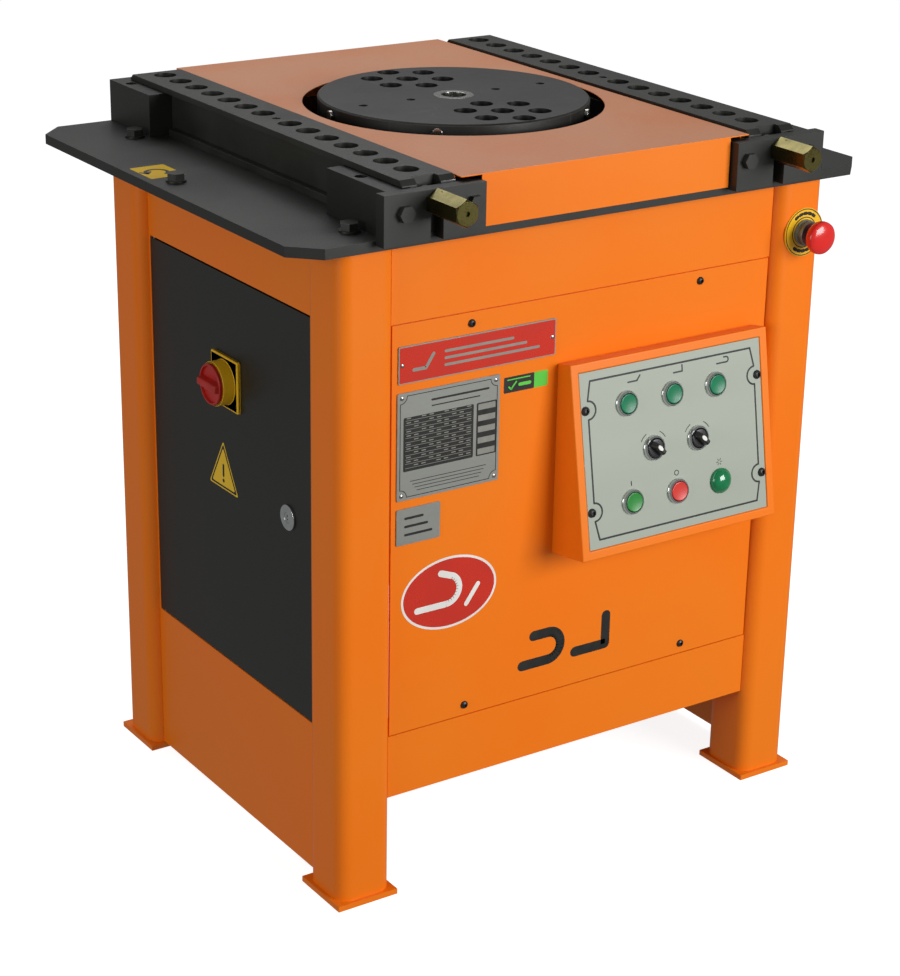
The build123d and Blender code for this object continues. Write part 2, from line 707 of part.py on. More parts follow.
def slotted_rail(side):
    """One sliding rail with its row of sockets and the spindle's threaded end."""
    back = RAIL_FRONT_Y + RAIL_LEN
    x0 = side * RAIL_IN_X
    brick(x0, side * foot_out_x, RAIL_FRONT_Y, back, rail_low, rail_top_z)
    lip_z = rail_top_z - RAIL_LIP_T
    brick(x0, side * (RAIL_IN_X + RAIL_W), RAIL_FRONT_Y, back, lip_z, rail_top_z)
    top_edges = edges().filter_by(Axis.X).group_by(Axis.Z)[-1]
    chamfer(top_edges, RAIL_END_CHAMFER * 0.6)
    for sign in (-1, 1):
        for step in range(SOCKETS_A_SIDE):
            y = SOCKET_MID_Y + sign * SOCKET_PITCH * (step + 0.75)
            post(
                side * rail_mid_x, y, SOCKET_D / 2, rail_top_z - SOCKET_DEPTH,
                rail_top_z + 1, Mode.SUBTRACT,
            )
    post(
        side * rail_mid_x, SOCKET_MID_Y, LOCATING_HOLE_D / 2,
        rail_top_z - LOCATING_HOLE_DEPTH, rail_top_z + 1, Mode.SUBTRACT,
    )
    pocket = COLLAR_D / 2 + POCKET_GAP
    pocket_back = DECK_FRONT_Y + COLLAR_T + 2 * POCKET_GAP
    middle = side * rail_mid_x
    face = front(middle, RAIL_FRONT_Y, spindle_z)
    stub(face, 0, 0, pocket, RAIL_FRONT_Y - pocket_back, 1, Mode.SUBTRACT)
    brick(
        middle - pocket, middle + pocket, RAIL_FRONT_Y - 1, pocket_back,
        spindle_z, rail_top_z + 1, Mode.SUBTRACT,
    )
    stub(
        face, 0, 0, SCREW_D / 2 + RUN_GAP, -SCREW_LEN - SCREW_BORE_EXTRA, 1, Mode.SUBTRACT
    )


with BuildPart() as left_rail:
    slotted_rail(-1)

with BuildPart() as right_rail:
    slotted_rail(1)


def spindle(side):
    """Neck, collar and screw, turning in the front plate."""
    base = front(side * rail_mid_x, DECK_FRONT_Y, spindle_z)
    stub(base, 0, 0, NECK_D / 2, -COLLAR_T, FRONT_PLATE_T + SLIDE_GAP)
    stub(base, 0, 0, COLLAR_D / 2, -COLLAR_T - SLIDE_GAP, -SLIDE_GAP)
    stub(base, 0, 0, SCREW_D / 2, -SCREW_LEN, -COLLAR_T)
    chamfer(faces().sort_by(Axis.Y)[-1].edges(), HEX_CHAMFER)


def hex_head(side):
    """The hexagonal drive head with its pin."""
    base = front(side * rail_mid_x, front_plate_face - SLIDE_GAP, spindle_z)
    corner_r = HEX_AF / math.sqrt(3)
    with BuildSketch(base) as hexagon:
        RegularPolygon(HEX_AF / 2, 6, major_radius=False, rotation=30)
    extrude(to_extrude=hexagon.sketch, amount=HEX_LEN)
    with BuildSketch(Plane.XY) as trim:
        with BuildLine():
            Polyline(
                (0, 0),
                (corner_r + 1, 0),
                (corner_r + 1, HEX_LEN - HEX_CHAMFER - 1),
                (corner_r - HEX_CHAMFER - 0.5, HEX_LEN),
                (0, HEX_LEN),
                close=True,
            )
        make_face()
    barrel = revolve(trim.sketch, axis=Axis.Y, mode=Mode.PRIVATE)
    turned = Location(base.origin, (180, 0, 0)) * barrel
    add(turned, mode=Mode.INTERSECT)
    mark = front(side * rail_mid_x, front_plate_face - SLIDE_GAP - HEX_LEN, spindle_z)
    stub(mark, 0, 0, CENTRE_MARK_D / 2, -3, 1, Mode.SUBTRACT)
    pin_y = front_plate_face - PIN_FROM_ROOT
    post(
        side * rail_mid_x, pin_y, PIN_D / 2, spindle_z - HEX_AF / 2 - 1,
        spindle_z + HEX_AF / 2 + 1, Mode.SUBTRACT,
    )
    post(
        side * rail_mid_x, pin_y, PIN_D / 2, spindle_z - HEX_AF / 2 + 1,
        spindle_z + HEX_AF / 2 + 1,
    )


with BuildPart() as left_spindle:
    spindle(-1)

with BuildPart() as right_spindle:
    spindle(1)

with BuildPart() as left_hex_head:
    hex_head(-1)

with BuildPart() as right_hex_head:
    hex_head(1)

with BuildPart() as top_cover:
    cover_x = RAIL_IN_X - COVER_EDGE_GAP
    cover_back = DECK_BACK_Y - COVER_BACK_GAP
    brick(-cover_x, cover_x, COVER_SKIRT_Y, cover_back, cover_top_z - COVER_T, cover_top_z)
    for sx in (-1, 1):
        brick(
            sx * cover_x, sx * (cover_x - COVER_T), DECK_FRONT_Y + RAIL_END_CHAMFER,
            RAIL_FRONT_Y + RAIL_LEN, guide_top_z, cover_top_z,
        )
    brick(
        -COVER_SKIRT_HALF_W, COVER_SKIRT_HALF_W, COVER_SKIRT_Y, COVER_SKIRT_Y + COVER_T,
        cover_skirt_low_z, cover_top_z,
    )
    brick(-cover_x, cover_x, cover_back - COVER_T, cover_back, deck_top, cover_top_z)
    post(0, TABLE_Y, cover_hole_r, cover_top_z - COVER_T - 1, cover_top_z + 1, Mode.SUBTRACT)

# ================= turntable =================

with BuildPart() as turntable_disc:
    post(0, TABLE_Y, TABLE_R, table_low, table_top_z)
    chamfer(edges().group_by(Axis.Z)[-1], TABLE_EDGE)
    for x, y in cluster(-1) + cluster(1):
        post(x, y, SOCKET_D / 2, table_top_z - CLUSTER_DEPTH, table_top_z + 1, Mode.SUBTRACT)
    for x in (-tap_out_r, -TAP_IN_R, TAP_IN_R, tap_out_r):
        post(x, TABLE_Y, TAP_D / 2, table_top_z - TAP_DEPTH, table_top_z + 1, Mode.SUBTRACT)
    post(0, TABLE_Y, BUSH_OUT_D / 2, table_low - 1, table_top_z + 1, Mode.SUBTRACT)
    for angle in TRIP_ANGLES:
        out = (math.cos(math.radians(angle)), math.sin(math.radians(angle)), 0)
        rim = Plane(
            origin=(TABLE_R * out[0], TABLE_Y + TABLE_R * out[1], trip_z),
            x_dir=(-out[1], out[0], 0),
            z_dir=out,
        )
        stub(rim, 0, 0, TRIP_D / 2, -TRIP_DEPTH, 2, Mode.SUBTRACT)

with BuildPart() as trip_screws:
    for angle in TRIP_ANGLES:
        out = (math.cos(math.radians(angle)), math.sin(math.radians(angle)), 0)
        rim = Plane(
            origin=(TABLE_R * out[0], TABLE_Y + TABLE_R * out[1], trip_z),
            x_dir=(-out[1], out[0], 0),
            z_dir=out,
        )
        stub(rim, 0, 0, TRIP_D / 2, -TRIP_DEPTH, 1)
        stub(rim, 0, 0, TRIP_HEAD_D / 2, 0.3, TRIP_HEAD_T)

with BuildPart() as centre_bush:
    post(0, TABLE_Y, BUSH_OUT_D / 2, table_low, table_top_z)
    post(0, TABLE_Y, BUSH_BORE_D / 2, table_low - 1, table_top_z + 1, Mode.SUBTRACT)

with BuildPart() as main_shaft:
    post(0, TABLE_Y, flange_r, table_low - FLANGE_T, table_low)
    post(0, TABLE_Y, SHAFT_D / 2, SHAFT_LOW_Z, table_low)
    post(0, TABLE_Y, BUSH_BORE_D / 2, table_low - FLANGE_T, table_low + 1, Mode.SUBTRACT)

with BuildPart() as main_gear:
    with BuildSketch(Plane.XY.offset(GEAR_Z)):
        with BuildLine():
            Polyline(*gear_outline(GEAR_TEETH, 0, 0), close=True)
        make_face()
    extrude(amount=GEAR_T)
    post(0, TABLE_Y, SHAFT_D / 2, GEAR_Z - 1, GEAR_Z + GEAR_T + 1, Mode.SUBTRACT)

with BuildPart() as pinion_shaft:
    with BuildSketch(Plane.XY.offset(GEAR_Z)):
        with BuildLine():
            Polyline(*gear_outline(PINION_TEETH, pinion_x, mesh_angle), close=True)
        make_face()
    extrude(amount=GEAR_T)
    post(pinion_x, TABLE_Y, PINION_SHAFT_D / 2, PULLEY_Z - 6, deck_top - 2)

with BuildPart() as gear_case:
    brick(-case_r, case_x1, TABLE_Y - case_r, TABLE_Y + case_r, CASE_LOW_Z, DECK_Z)
    brick(
        -case_r + CASE_WALL, case_x1 - CASE_WALL, TABLE_Y - case_r + CASE_WALL,
        TABLE_Y + case_r - CASE_WALL, CASE_LOW_Z + CASE_FLOOR, DECK_Z + 1, Mode.SUBTRACT,
    )
    post(
        0, TABLE_Y, SHAFT_D / 2 + BUSH_WALL, CASE_LOW_Z - 1, DECK_Z, Mode.SUBTRACT
    )
    post(
        pinion_x, TABLE_Y, PINION_SHAFT_D / 2 + PINION_BUSH_WALL, CASE_LOW_Z - 1,
        DECK_Z, Mode.SUBTRACT,
    )

with BuildPart() as shaft_bushes:
    spots = [(0, SHAFT_D / 2, BUSH_WALL), (pinion_x, PINION_SHAFT_D / 2, PINION_BUSH_WALL)]
    for x, r, wall in spots:
        for z0, z1 in ((CASE_LOW_Z, CASE_LOW_Z + CASE_FLOOR), (deck_top - TOP_BUSH_LEN, deck_top)):
            post(x, TABLE_Y, r + wall, z0, z1)
            post(x, TABLE_Y, r + RUN_GAP, z0 - 1, z1 + 1, Mode.SUBTRACT)

with BuildPart() as driven_pulley:
    grooved_wheel(DRIVEN_PULLEY_R, pinion_x)
    post(
        pinion_x, TABLE_Y, PINION_SHAFT_D / 2, PULLEY_Z - 1, PULLEY_Z + PULLEY_T + 1,
        Mode.SUBTRACT,
    )

with BuildPart() as motor_pulley:
    grooved_wheel(MOTOR_PULLEY_R, MOTOR_X)
    post(
        MOTOR_X, TABLE_Y, MOTOR_SHAFT_D / 2, PULLEY_Z - 1, PULLEY_Z + PULLEY_T + 1,
        Mode.SUBTRACT,
    )

with BuildPart() as drive_belts:
    inner = GROOVE_DEPTH - BELT_GAP
    for row in range(2):
        z = PULLEY_Z + PULLEY_T / 2 * (row + 0.5) - BELT_W / 2
        with BuildSketch(Plane.XY.offset(z)):
            with Locations((pinion_x, TABLE_Y)):
                Circle(DRIVEN_PULLEY_R - inner + BELT_T)
            with Locations((MOTOR_X, TABLE_Y)):
                Circle(MOTOR_PULLEY_R - inner + BELT_T)
            make_hull()
        extrude(amount=BELT_W)
        with BuildSketch(Plane.XY.offset(z)):
            with Locations((pinion_x, TABLE_Y)):
                Circle(DRIVEN_PULLEY_R - inner)
            with Locations((MOTOR_X, TABLE_Y)):
                Circle(MOTOR_PULLEY_R - inner)
            make_hull()
        extrude(amount=BELT_W, mode=Mode.SUBTRACT)

with BuildPart() as motor_shaft:
    post(
        MOTOR_X, TABLE_Y, MOTOR_SHAFT_D / 2, motor_face - MOTOR_BODY_LEN / 2,
        PULLEY_Z + PULLEY_T + 2,
    )

with BuildPart() as motor_body:
    low = motor_face - MOTOR_FLANGE_T - MOTOR_BODY_LEN
    post(MOTOR_X, TABLE_Y, MOTOR_FLANGE_R, motor_face - MOTOR_FLANGE_T, motor_face)
    post(MOTOR_X, TABLE_Y, MOTOR_BODY_R, low, motor_face - MOTOR_FLANGE_T)
    with BuildSketch(Plane.XY.offset(low + 4)):
        with Locations((MOTOR_X, TABLE_Y)):
            with PolarLocations(MOTOR_BODY_R, MOTOR_FINS):
                Rectangle(2 * (MOTOR_FIN_R - MOTOR_BODY_R), MOTOR_FIN_T)
    extrude(amount=MOTOR_BODY_LEN - 14)
    post(MOTOR_X, TABLE_Y, MOTOR_FIN_R + 2, low - MOTOR_COWL_LEN, low)
    brick(
        MOTOR_X - TERMINAL_BOX_W / 2, MOTOR_X + TERMINAL_BOX_W / 2, TABLE_Y + MOTOR_BODY_R - 4,
        TABLE_Y + MOTOR_BODY_R + TERMINAL_BOX_D, motor_face - TERMINAL_BOX_H - 40,
        motor_face - 40,
    )
    post(
        MOTOR_X, TABLE_Y, MOTOR_SHAFT_D / 2 + RUN_GAP, motor_face - MOTOR_BODY_LEN / 2 - 2,
        motor_face + 1, Mode.SUBTRACT,
    )

with BuildPart() as motor_hanger:
    brick(HANGER_X0, HANGER_X1, HANGER_FRONT_Y, HANGER_BACK_Y, motor_face, hanger_top)
    for y, out in ((HANGER_FRONT_Y, -1), (HANGER_BACK_Y, 1)):
        brick(HANGER_X0, HANGER_X1, y, y - out * HANGER_T, motor_face, DECK_Z)
        brick(
            HANGER_X0, HANGER_X1, y - out * HANGER_T, y + out * HANGER_FOOT,
            DECK_Z - HANGER_T, DECK_Z,
        )
    post(
        MOTOR_X, TABLE_Y, MOTOR_SHAFT_D / 2 + 6, motor_face - 1, hanger_top + 1, Mode.SUBTRACT
    )

# ================= electrics =================

with BuildPart() as electrical_plate:
    brick(EPLATE_X, EPLATE_X + EPLATE_T, -EPLATE_HALF_Y, EPLATE_HALF_Y, EPLATE_LOW_Z, DECK_Z)
    brick(
        EPLATE_X, EPLATE_X + EPLATE_FLANGE, -EPLATE_HALF_Y, EPLATE_HALF_Y,
        DECK_Z - EPLATE_T, DECK_Z,
    )

with BuildPart() as switchgear:
    for n in range(CONTACTOR_COUNT):
        y = (n - (CONTACTOR_COUNT - 1) / 2) * CONTACTOR_PITCH
        brick(
            EPLATE_X - CONTACTOR_D, EPLATE_X, y - CONTACTOR_W / 2, y + CONTACTOR_W / 2,
            CONTACTOR_Z, CONTACTOR_Z + CONTACTOR_H,
        )
        brick(
            EPLATE_X - CONTACTOR_D - 8, EPLATE_X - CONTACTOR_D, y - CONTACTOR_W / 4,
            y + CONTACTOR_W / 4, CONTACTOR_Z + CONTACTOR_H / 4, CONTACTOR_Z + CONTACTOR_H * 0.75,
        )
    brick(
        EPLATE_X - SWITCH_BODY, EPLATE_X, ISOLATOR_Y - SWITCH_BODY / 2,
        ISOLATOR_Y + SWITCH_BODY / 2, ISOLATOR_Z - SWITCH_BODY / 2, ISOLATOR_Z + SWITCH_BODY / 2,
    )

# ================= control box =================

with BuildPart() as control_box:
    with BuildSketch(Plane.YZ.offset(BOX_X0)):
        with BuildLine():
            Polyline(
                (face_y, BOX_TOP_Z), box_front_top, box_front_low, (face_y, BOX_LOW_Z), close=True
            )
        make_face()
    extrude(amount=BOX_X1 - BOX_X0)
    with BuildSketch(box_front):
        Rectangle(panel_w, panel_h)
    extrude(amount=-(PANEL_T - PANEL_PROUD), mode=Mode.SUBTRACT)
    with BuildSketch(box_front.offset(-(PANEL_T - PANEL_PROUD))):
        Rectangle(panel_w - 2 * BOX_BORDER, panel_h - 2 * BOX_BORDER)
    extrude(amount=-(BOX_TOP_D - 2 * BOX_SKIN), mode=Mode.SUBTRACT)

push_spots = {
    "p1": (-BUTTON_COLUMN - 2, BUTTON_ROW),
    "p2": (-1.5, BUTTON_ROW),
    "p3": (BUTTON_COLUMN - 3, BUTTON_ROW),
    "on": (-BUTTON_COLUMN - 2, -BUTTON_ROW),
    "off": (-1.5, -BUTTON_ROW),
}
selector_spots = {"left": (-SELECTOR_X, 0.0), "right": (SELECTOR_X, 0.0)}
lamp_spot = (BUTTON_COLUMN - 3, -BUTTON_ROW)
ring_spots = list(push_spots.values()) + list(selector_spots.values()) + [lamp_spot]

with BuildPart() as control_panel:
    with BuildSketch(panel_face):
        Rectangle(panel_w - 1, panel_h - 1)
        with Locations(*ring_spots):
            Circle(BEZEL_BORE_D / 2, mode=Mode.SUBTRACT)
    extrude(amount=-PANEL_T)

with BuildPart() as button_bezels:
    for u, v in ring_spots:
        stub(panel_face, u, v, BEZEL_D / 2, 0, BEZEL_T)
        stub(panel_face, u, v, BEZEL_BORE_D / 2, -1, BEZEL_T + 1, Mode.SUBTRACT)


def push_cap(name):
    """One sprung cap on its stem."""
    u, v = push_spots[name]
    stub(panel_face, u, v, CAP_D / 2, -1, CAP_PROUD)
    stub(panel_face, u, v, CAP_STEM_D / 2, -CAP_STEM_LEN, -1)


with BuildPart() as p1_cap:
    push_cap("p1")

with BuildPart() as p2_cap:
    push_cap("p2")

with BuildPart() as p3_cap:
    push_cap("p3")

with BuildPart() as on_cap:
    push_cap("on")

with BuildPart() as off_cap:
    push_cap("off")


def selector(name):
    """A turning knob with a grip across it."""
    u, v = selector_spots[name]
    stub(panel_face, u, v, CAP_D / 2, 0, KNOB_T)
    stub(panel_face, u, v, CAP_STEM_D / 2, -CAP_STEM_LEN, 0)
    with BuildSketch(panel_face.offset(KNOB_T)) as grip:
        with Locations((u, v)):
            SlotOverall(KNOB_D, KNOB_GRIP_W, rotation=135)
    extrude(to_extrude=grip.sketch, amount=KNOB_GRIP_T)


with BuildPart() as left_selector:
    selector("left")

with BuildPart() as right_selector:
    selector("right")

with BuildPart() as power_lamp:
    stub(panel_face, *lamp_spot, BEZEL_BORE_D / 2, -PANEL_T, CAP_PROUD)
    stub(panel_face, *lamp_spot, CAP_STEM_D / 2, -CAP_STEM_LEN, -PANEL_T)

with BuildPart() as cover_screws:
    for x in (-COVER_SCREW_X, COVER_SCREW_X):
        for z in (low_screw_z, top_screw_z):
            stub(front(x, face_y, z), 0, 0, SCREW_HEAD_D / 2, 0, SCREW_HEAD_T)
            stub(front(x, face_y, z), 0, 0, SCREW_SHANK_D / 2, -SCREW_SHANK_LEN, 0)
    for su in (-1, 1):
        for sv in (-1, 1):
            u = su * PANEL_SCREW_U
            v = sv * PANEL_SCREW_V
            stub(panel_face, u, v, SCREW_HEAD_D / 2, 0, SCREW_HEAD_T)

# ================= emergency stop =================

with BuildPart() as estop_label:
    stub(estop_face, 0, 0, ESTOP_LABEL_D / 2, 0, ESTOP_LABEL_T)
    stub(estop_face, 0, 0, ESTOP_STEM_D / 2 + 2, -1, ESTOP_LABEL_T + 1, Mode.SUBTRACT)

with BuildPart() as estop_collar:
    bore = ESTOP_STEM_D / 2 + RUN_GAP
    stub(estop_face, 0, 0, ESTOP_COLLAR_D / 2, ESTOP_LABEL_T, ESTOP_LABEL_T + ESTOP_COLLAR_T)
    stub(estop_face, 0, 0, ESTOP_STEM_D / 2 + 2, -ESTOP_BODY_DEPTH, ESTOP_LABEL_T)
    stub(estop_face, 0, 0, bore, -ESTOP_BODY_DEPTH - 1, ESTOP_COLLAR_T + 3, Mode.SUBTRACT)

with BuildPart() as estop_stem:
    stem_out = ESTOP_LABEL_T + ESTOP_COLLAR_T + ESTOP_HEAD_GAP
    stub(estop_face, 0, 0, ESTOP_STEM_D / 2, -ESTOP_BODY_DEPTH + 10, stem_out)
    stub(estop_face, 0, 0, ESTOP_STEM_D / 4, stem_out, stem_out + ESTOP_HEAD_T / 2)

with BuildPart() as estop_head:
    head_y = -half_d - stem_out
    bore_r = ESTOP_STEM_D / 4 + RUN_GAP
    bore_end = ESTOP_HEAD_T / 2 + 0.5
    rim_r = ESTOP_HEAD_D / 2
    dome_r = (rim_r**2 + ESTOP_DOME_H**2) / (2 * ESTOP_DOME_H)
    dome_half = dome_r - math.sqrt(dome_r**2 - (rim_r / 2) ** 2)
    with BuildSketch(Plane.YZ.offset(estop_x)):
        with BuildLine():
            Polyline(
                (head_y - bore_end, ESTOP_Z),
                (head_y - bore_end, ESTOP_Z + bore_r),
                (head_y - 0.3, ESTOP_Z + bore_r),
                (head_y - 0.3, ESTOP_Z + rim_r - 4),
                (head_y - 5, ESTOP_Z + rim_r),
                (head_y - ESTOP_HEAD_T + ESTOP_DOME_H, ESTOP_Z + rim_r),
            )
            ThreePointArc(
                (head_y - ESTOP_HEAD_T + ESTOP_DOME_H, ESTOP_Z + rim_r),
                (head_y - ESTOP_HEAD_T + dome_half, ESTOP_Z + rim_r / 2),
                (head_y - ESTOP_HEAD_T, ESTOP_Z),
            )
            Line((head_y - ESTOP_HEAD_T, ESTOP_Z), (head_y - bore_end, ESTOP_Z))
        make_face()
    revolve(axis=Axis((estop_x, 0, ESTOP_Z), (0, 1, 0)))

# ================= door =================

with BuildPart() as door:
    brick(door_x, door_x + DOOR_DEPTH, DOOR_FRONT_Y, DOOR_BACK_Y, DOOR_LOW_Z, DOOR_TOP_Z)
    brick(
        door_x + DOOR_SKIN, door_x + DOOR_DEPTH + 1, DOOR_FRONT_Y + DOOR_SKIN,
        DOOR_BACK_Y - DOOR_SKIN, DOOR_LOW_Z + DOOR_SKIN, DOOR_TOP_Z - DOOR_SKIN, Mode.SUBTRACT,
    )
    side = Plane(origin=(door_x, 0, 0), x_dir=(0, -1, 0), z_dir=(-1, 0, 0))
    stub(
        side, -ISOLATOR_Y, ISOLATOR_Z, ISOLATOR_SHAFT_D / 2 + 2, -DOOR_SKIN - 1, 1, Mode.SUBTRACT
    )
    stub(side, -LOCK_Y, LOCK_Z, LOCK_BARREL_D / 2, -DOOR_SKIN - 1, 1, Mode.SUBTRACT)
    for low, high in (
        (DOOR_LOW_Z, DOOR_LOW_Z + PIVOT_LEN),
        (DOOR_TOP_Z - PIVOT_LEN, DOOR_TOP_Z),
    ):
        brick(
            door_x, door_x + PIVOT_BLOCK, DOOR_BACK_Y - PIVOT_BLOCK, DOOR_BACK_Y, low, high
        )
        post(pivot_x, pivot_y, PIVOT_D / 2 + RUN_GAP, low - 1, high + 1, Mode.SUBTRACT)

with BuildPart() as hinge_pins:
    post(pivot_x, pivot_y, PIVOT_D / 2, opening_low, DOOR_LOW_Z + PIVOT_LEN)
    post(pivot_x, pivot_y, PIVOT_D / 2, DOOR_TOP_Z - PIVOT_LEN, opening_top)

with BuildPart() as isolator_base:
    with BuildSketch(side):
        with Locations((-ISOLATOR_Y, ISOLATOR_Z)):
            RectangleRounded(ISOLATOR_SIDE, ISOLATOR_SIDE, ISOLATOR_ROUND)
    extrude(amount=ISOLATOR_T)
    chamfer(faces().sort_by(Axis.X)[0].edges(), ISOLATOR_CHAMFER)
    stub(side, -ISOLATOR_Y, ISOLATOR_Z, ISOLATOR_BOSS_R, ISOLATOR_T, ISOLATOR_BOSS_T)
    shaft_hole = ISOLATOR_SHAFT_D / 2 + RUN_GAP
    stub(side, -ISOLATOR_Y, ISOLATOR_Z, shaft_hole, -1, ISOLATOR_BOSS_T + 1, Mode.SUBTRACT)

with BuildPart() as isolator_handle:
    handle_low = ISOLATOR_BOSS_T + SLIDE_GAP
    handle_top = ISOLATOR_BOSS_T + ISOLATOR_DISC_T
    stub(side, -ISOLATOR_Y, ISOLATOR_Z, ISOLATOR_GRIP_R, handle_low, handle_top)
    with BuildSketch(side.offset(handle_top)):
        with Locations((-ISOLATOR_Y, ISOLATOR_Z)):
            SlotOverall(2 * ISOLATOR_GRIP_R, ISOLATOR_BAR_W)
    extrude(amount=ISOLATOR_GRIP_T)
    stub(
        side, -ISOLATOR_Y, ISOLATOR_Z, ISOLATOR_SHAFT_D / 2, -ISOLATOR_SHAFT_LEN, handle_low
    )

with BuildPart() as door_lock:
    stub(side, -LOCK_Y, LOCK_Z, LOCK_BEZEL_D / 2, 0, LOCK_BEZEL_T)
    stub(side, -LOCK_Y, LOCK_Z, LOCK_BARREL_D / 2, -LOCK_BODY_LEN, 0)
    stub(
        side, -LOCK_Y, LOCK_Z, LOCK_CORE_D / 2 + RUN_GAP, -LOCK_BODY_LEN - 1,
        LOCK_BEZEL_T + 1, Mode.SUBTRACT,
    )

with BuildPart() as lock_cam:
    stub(
        side, -LOCK_Y, LOCK_Z, LOCK_CORE_D / 2, -LOCK_BODY_LEN - CAM_T, LOCK_BEZEL_T - 0.5
    )
    with BuildSketch(side.offset(-LOCK_BODY_LEN - CAM_T - 0.3)):
        with Locations((-LOCK_Y, LOCK_Z - CAM_LEN / 2 + CAM_W / 2)):
            SlotOverall(CAM_LEN, CAM_W, rotation=90)
    extrude(amount=CAM_T)
    with BuildSketch(side.offset(LOCK_BEZEL_T - 3)):
        with Locations((-LOCK_Y, LOCK_Z)):
            Rectangle(2, 7)
    extrude(amount=4, mode=Mode.SUBTRACT)

with BuildPart() as rating_plates:
    for x0, x1, z0, z1 in (NAME_PLATE, DATA_PLATE, MARK_PLATE):
        brick(x0, x1, face_y - PLATE_T, face_y, z0, z1)
    for x0, x1, z0, z1 in (NAME_PLATE, DATA_PLATE):
        for x in (x0 + RIVET_IN, x1 - RIVET_IN):
            for z in (z0 + RIVET_IN, z1 - RIVET_IN):
                stub(
                    front(x, face_y, z), 0, 0, RIVET_D / 2, PLATE_T, PLATE_T + RIVET_T
                )

# ================= export =================

nodes = {
    "legs": legs,
    "front_top_rail": front_top_rail,
    "front_bottom_rail": front_bottom_rail,
    "front_cover": front_cover,
    "left_side_panel": left_side_panel,
    "right_side_panel": right_side_panel,
    "back_panel": back_panel,
    "cable_gland": cable_gland,
    "base_plate": base_plate,
    "corner_blocks": corner_blocks,
    "rail_guides": rail_guides,
    "left_front_plate": left_front_plate,
    "right_front_plate": right_front_plate,
    "hex_bolts": hex_bolts,
    "left_rail": left_rail,
    "right_rail": right_rail,
    "left_spindle": left_spindle,
    "right_spindle": right_spindle,
    "left_hex_head": left_hex_head,
    "right_hex_head": right_hex_head,
    "top_cover": top_cover,
    "turntable_disc": turntable_disc,
    "trip_screws": trip_screws,
    "centre_bush": centre_bush,
    "main_shaft": main_shaft,
    "main_gear": main_gear,
    "pinion_shaft": pinion_shaft,
    "gear_case": gear_case,
    "shaft_bushes": shaft_bushes,
    "driven_pulley": driven_pulley,
    "motor_pulley": motor_pulley,
    "drive_belts": drive_belts,
    "motor_shaft": motor_shaft,
    "motor_body": motor_body,
    "motor_hanger": motor_hanger,
    "electrical_plate": electrical_plate,
    "switchgear": switchgear,
    "control_box": control_box,
    "control_panel": control_panel,
    "button_bezels": button_bezels,
    "p1_cap": p1_cap,
    "p2_cap": p2_cap,
    "p3_cap": p3_cap,
    "on_cap": on_cap,
    "off_cap": off_cap,
    "left_selector": left_selector,
    "right_selector": right_selector,
    "power_lamp": power_lamp,
    "cover_screws": cover_screws,
    "estop_label": estop_label,
    "estop_collar": estop_collar,
    "estop_stem": estop_stem,
    "estop_head": estop_head,
    "door": door,
    "hinge_pins": hinge_pins,
    "isolator_base": isolator_base,
    "isolator_handle": isolator_handle,
    "door_lock": door_lock,
    "lock_cam": lock_cam,
    "rating_plates": rating_plates,
}

os.makedirs("parts", exist_ok=True)
for name, node in nodes.items():
    node.part.label = name
    export_step(node.part, f"parts/{name}.step")
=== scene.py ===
import json
import math

import bmesh
import bpy
from mathutils import Matrix, Vector


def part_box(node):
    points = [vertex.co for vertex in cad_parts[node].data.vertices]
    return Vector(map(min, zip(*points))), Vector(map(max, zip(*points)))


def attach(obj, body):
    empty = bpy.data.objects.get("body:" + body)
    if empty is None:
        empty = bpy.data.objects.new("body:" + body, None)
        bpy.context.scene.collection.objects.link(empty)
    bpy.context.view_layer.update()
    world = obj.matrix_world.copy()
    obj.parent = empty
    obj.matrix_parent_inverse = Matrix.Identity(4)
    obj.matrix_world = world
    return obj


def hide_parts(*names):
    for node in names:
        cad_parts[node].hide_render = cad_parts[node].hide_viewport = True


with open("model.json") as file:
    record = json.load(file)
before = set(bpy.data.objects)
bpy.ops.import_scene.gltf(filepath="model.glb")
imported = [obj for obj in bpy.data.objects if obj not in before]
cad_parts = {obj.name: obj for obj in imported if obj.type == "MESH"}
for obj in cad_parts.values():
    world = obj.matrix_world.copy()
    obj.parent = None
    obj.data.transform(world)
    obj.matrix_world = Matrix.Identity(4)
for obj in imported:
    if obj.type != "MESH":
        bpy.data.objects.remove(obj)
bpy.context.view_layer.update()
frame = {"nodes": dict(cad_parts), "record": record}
record = frame["record"]
body_of_node = {
    node: body for body, nodes in record["behaviour"]["bodies"].items() for node in nodes
}
joints = {joint["name"]: joint for joint in record["behaviour"]["joints"]}
MM = 0.001


# ---------------------------------------------------------------- materials


def linear(code):
    """An sRGB hex colour as the linear colour a shader takes."""
    channels = [int(code[i : i + 2], 16) / 255 for i in (0, 2, 4)]
    return tuple(
        c / 12.92 if c <= 0.04045 else ((c + 0.055) / 1.055) ** 2.4 for c in channels
    ) + (1.0,)


def add(tree, kind, inputs=None, **settings):
    """One shader node, with its settings, and its sockets set or linked by name or number."""
    made = tree.nodes.new(kind)
    for name, value in settings.items():
        setattr(made, name, value)
    for name, value in (inputs or {}).items():
        if isinstance(value, bpy.types.NodeSocket):
            tree.links.new(value, made.inputs[name])
        else:
            made.inputs[name].default_value = value
    return made


def size(mm):
    """Texture scale whose features are about this many millimetres."""
    return 1 / (mm * MM)


def surface(name, constants):
    """An empty material with its shader, and the object coordinates of its piece."""
    material = bpy.data.materials.new(name)
    material.use_nodes = True
    tree = material.node_tree
    shader = tree.nodes["Principled BSDF"]
    for socket, value in constants.items():
        shader.inputs[socket].default_value = value
    place = add(tree, "ShaderNodeTexCoord").outputs["Object"]
    return material, tree, shader, place


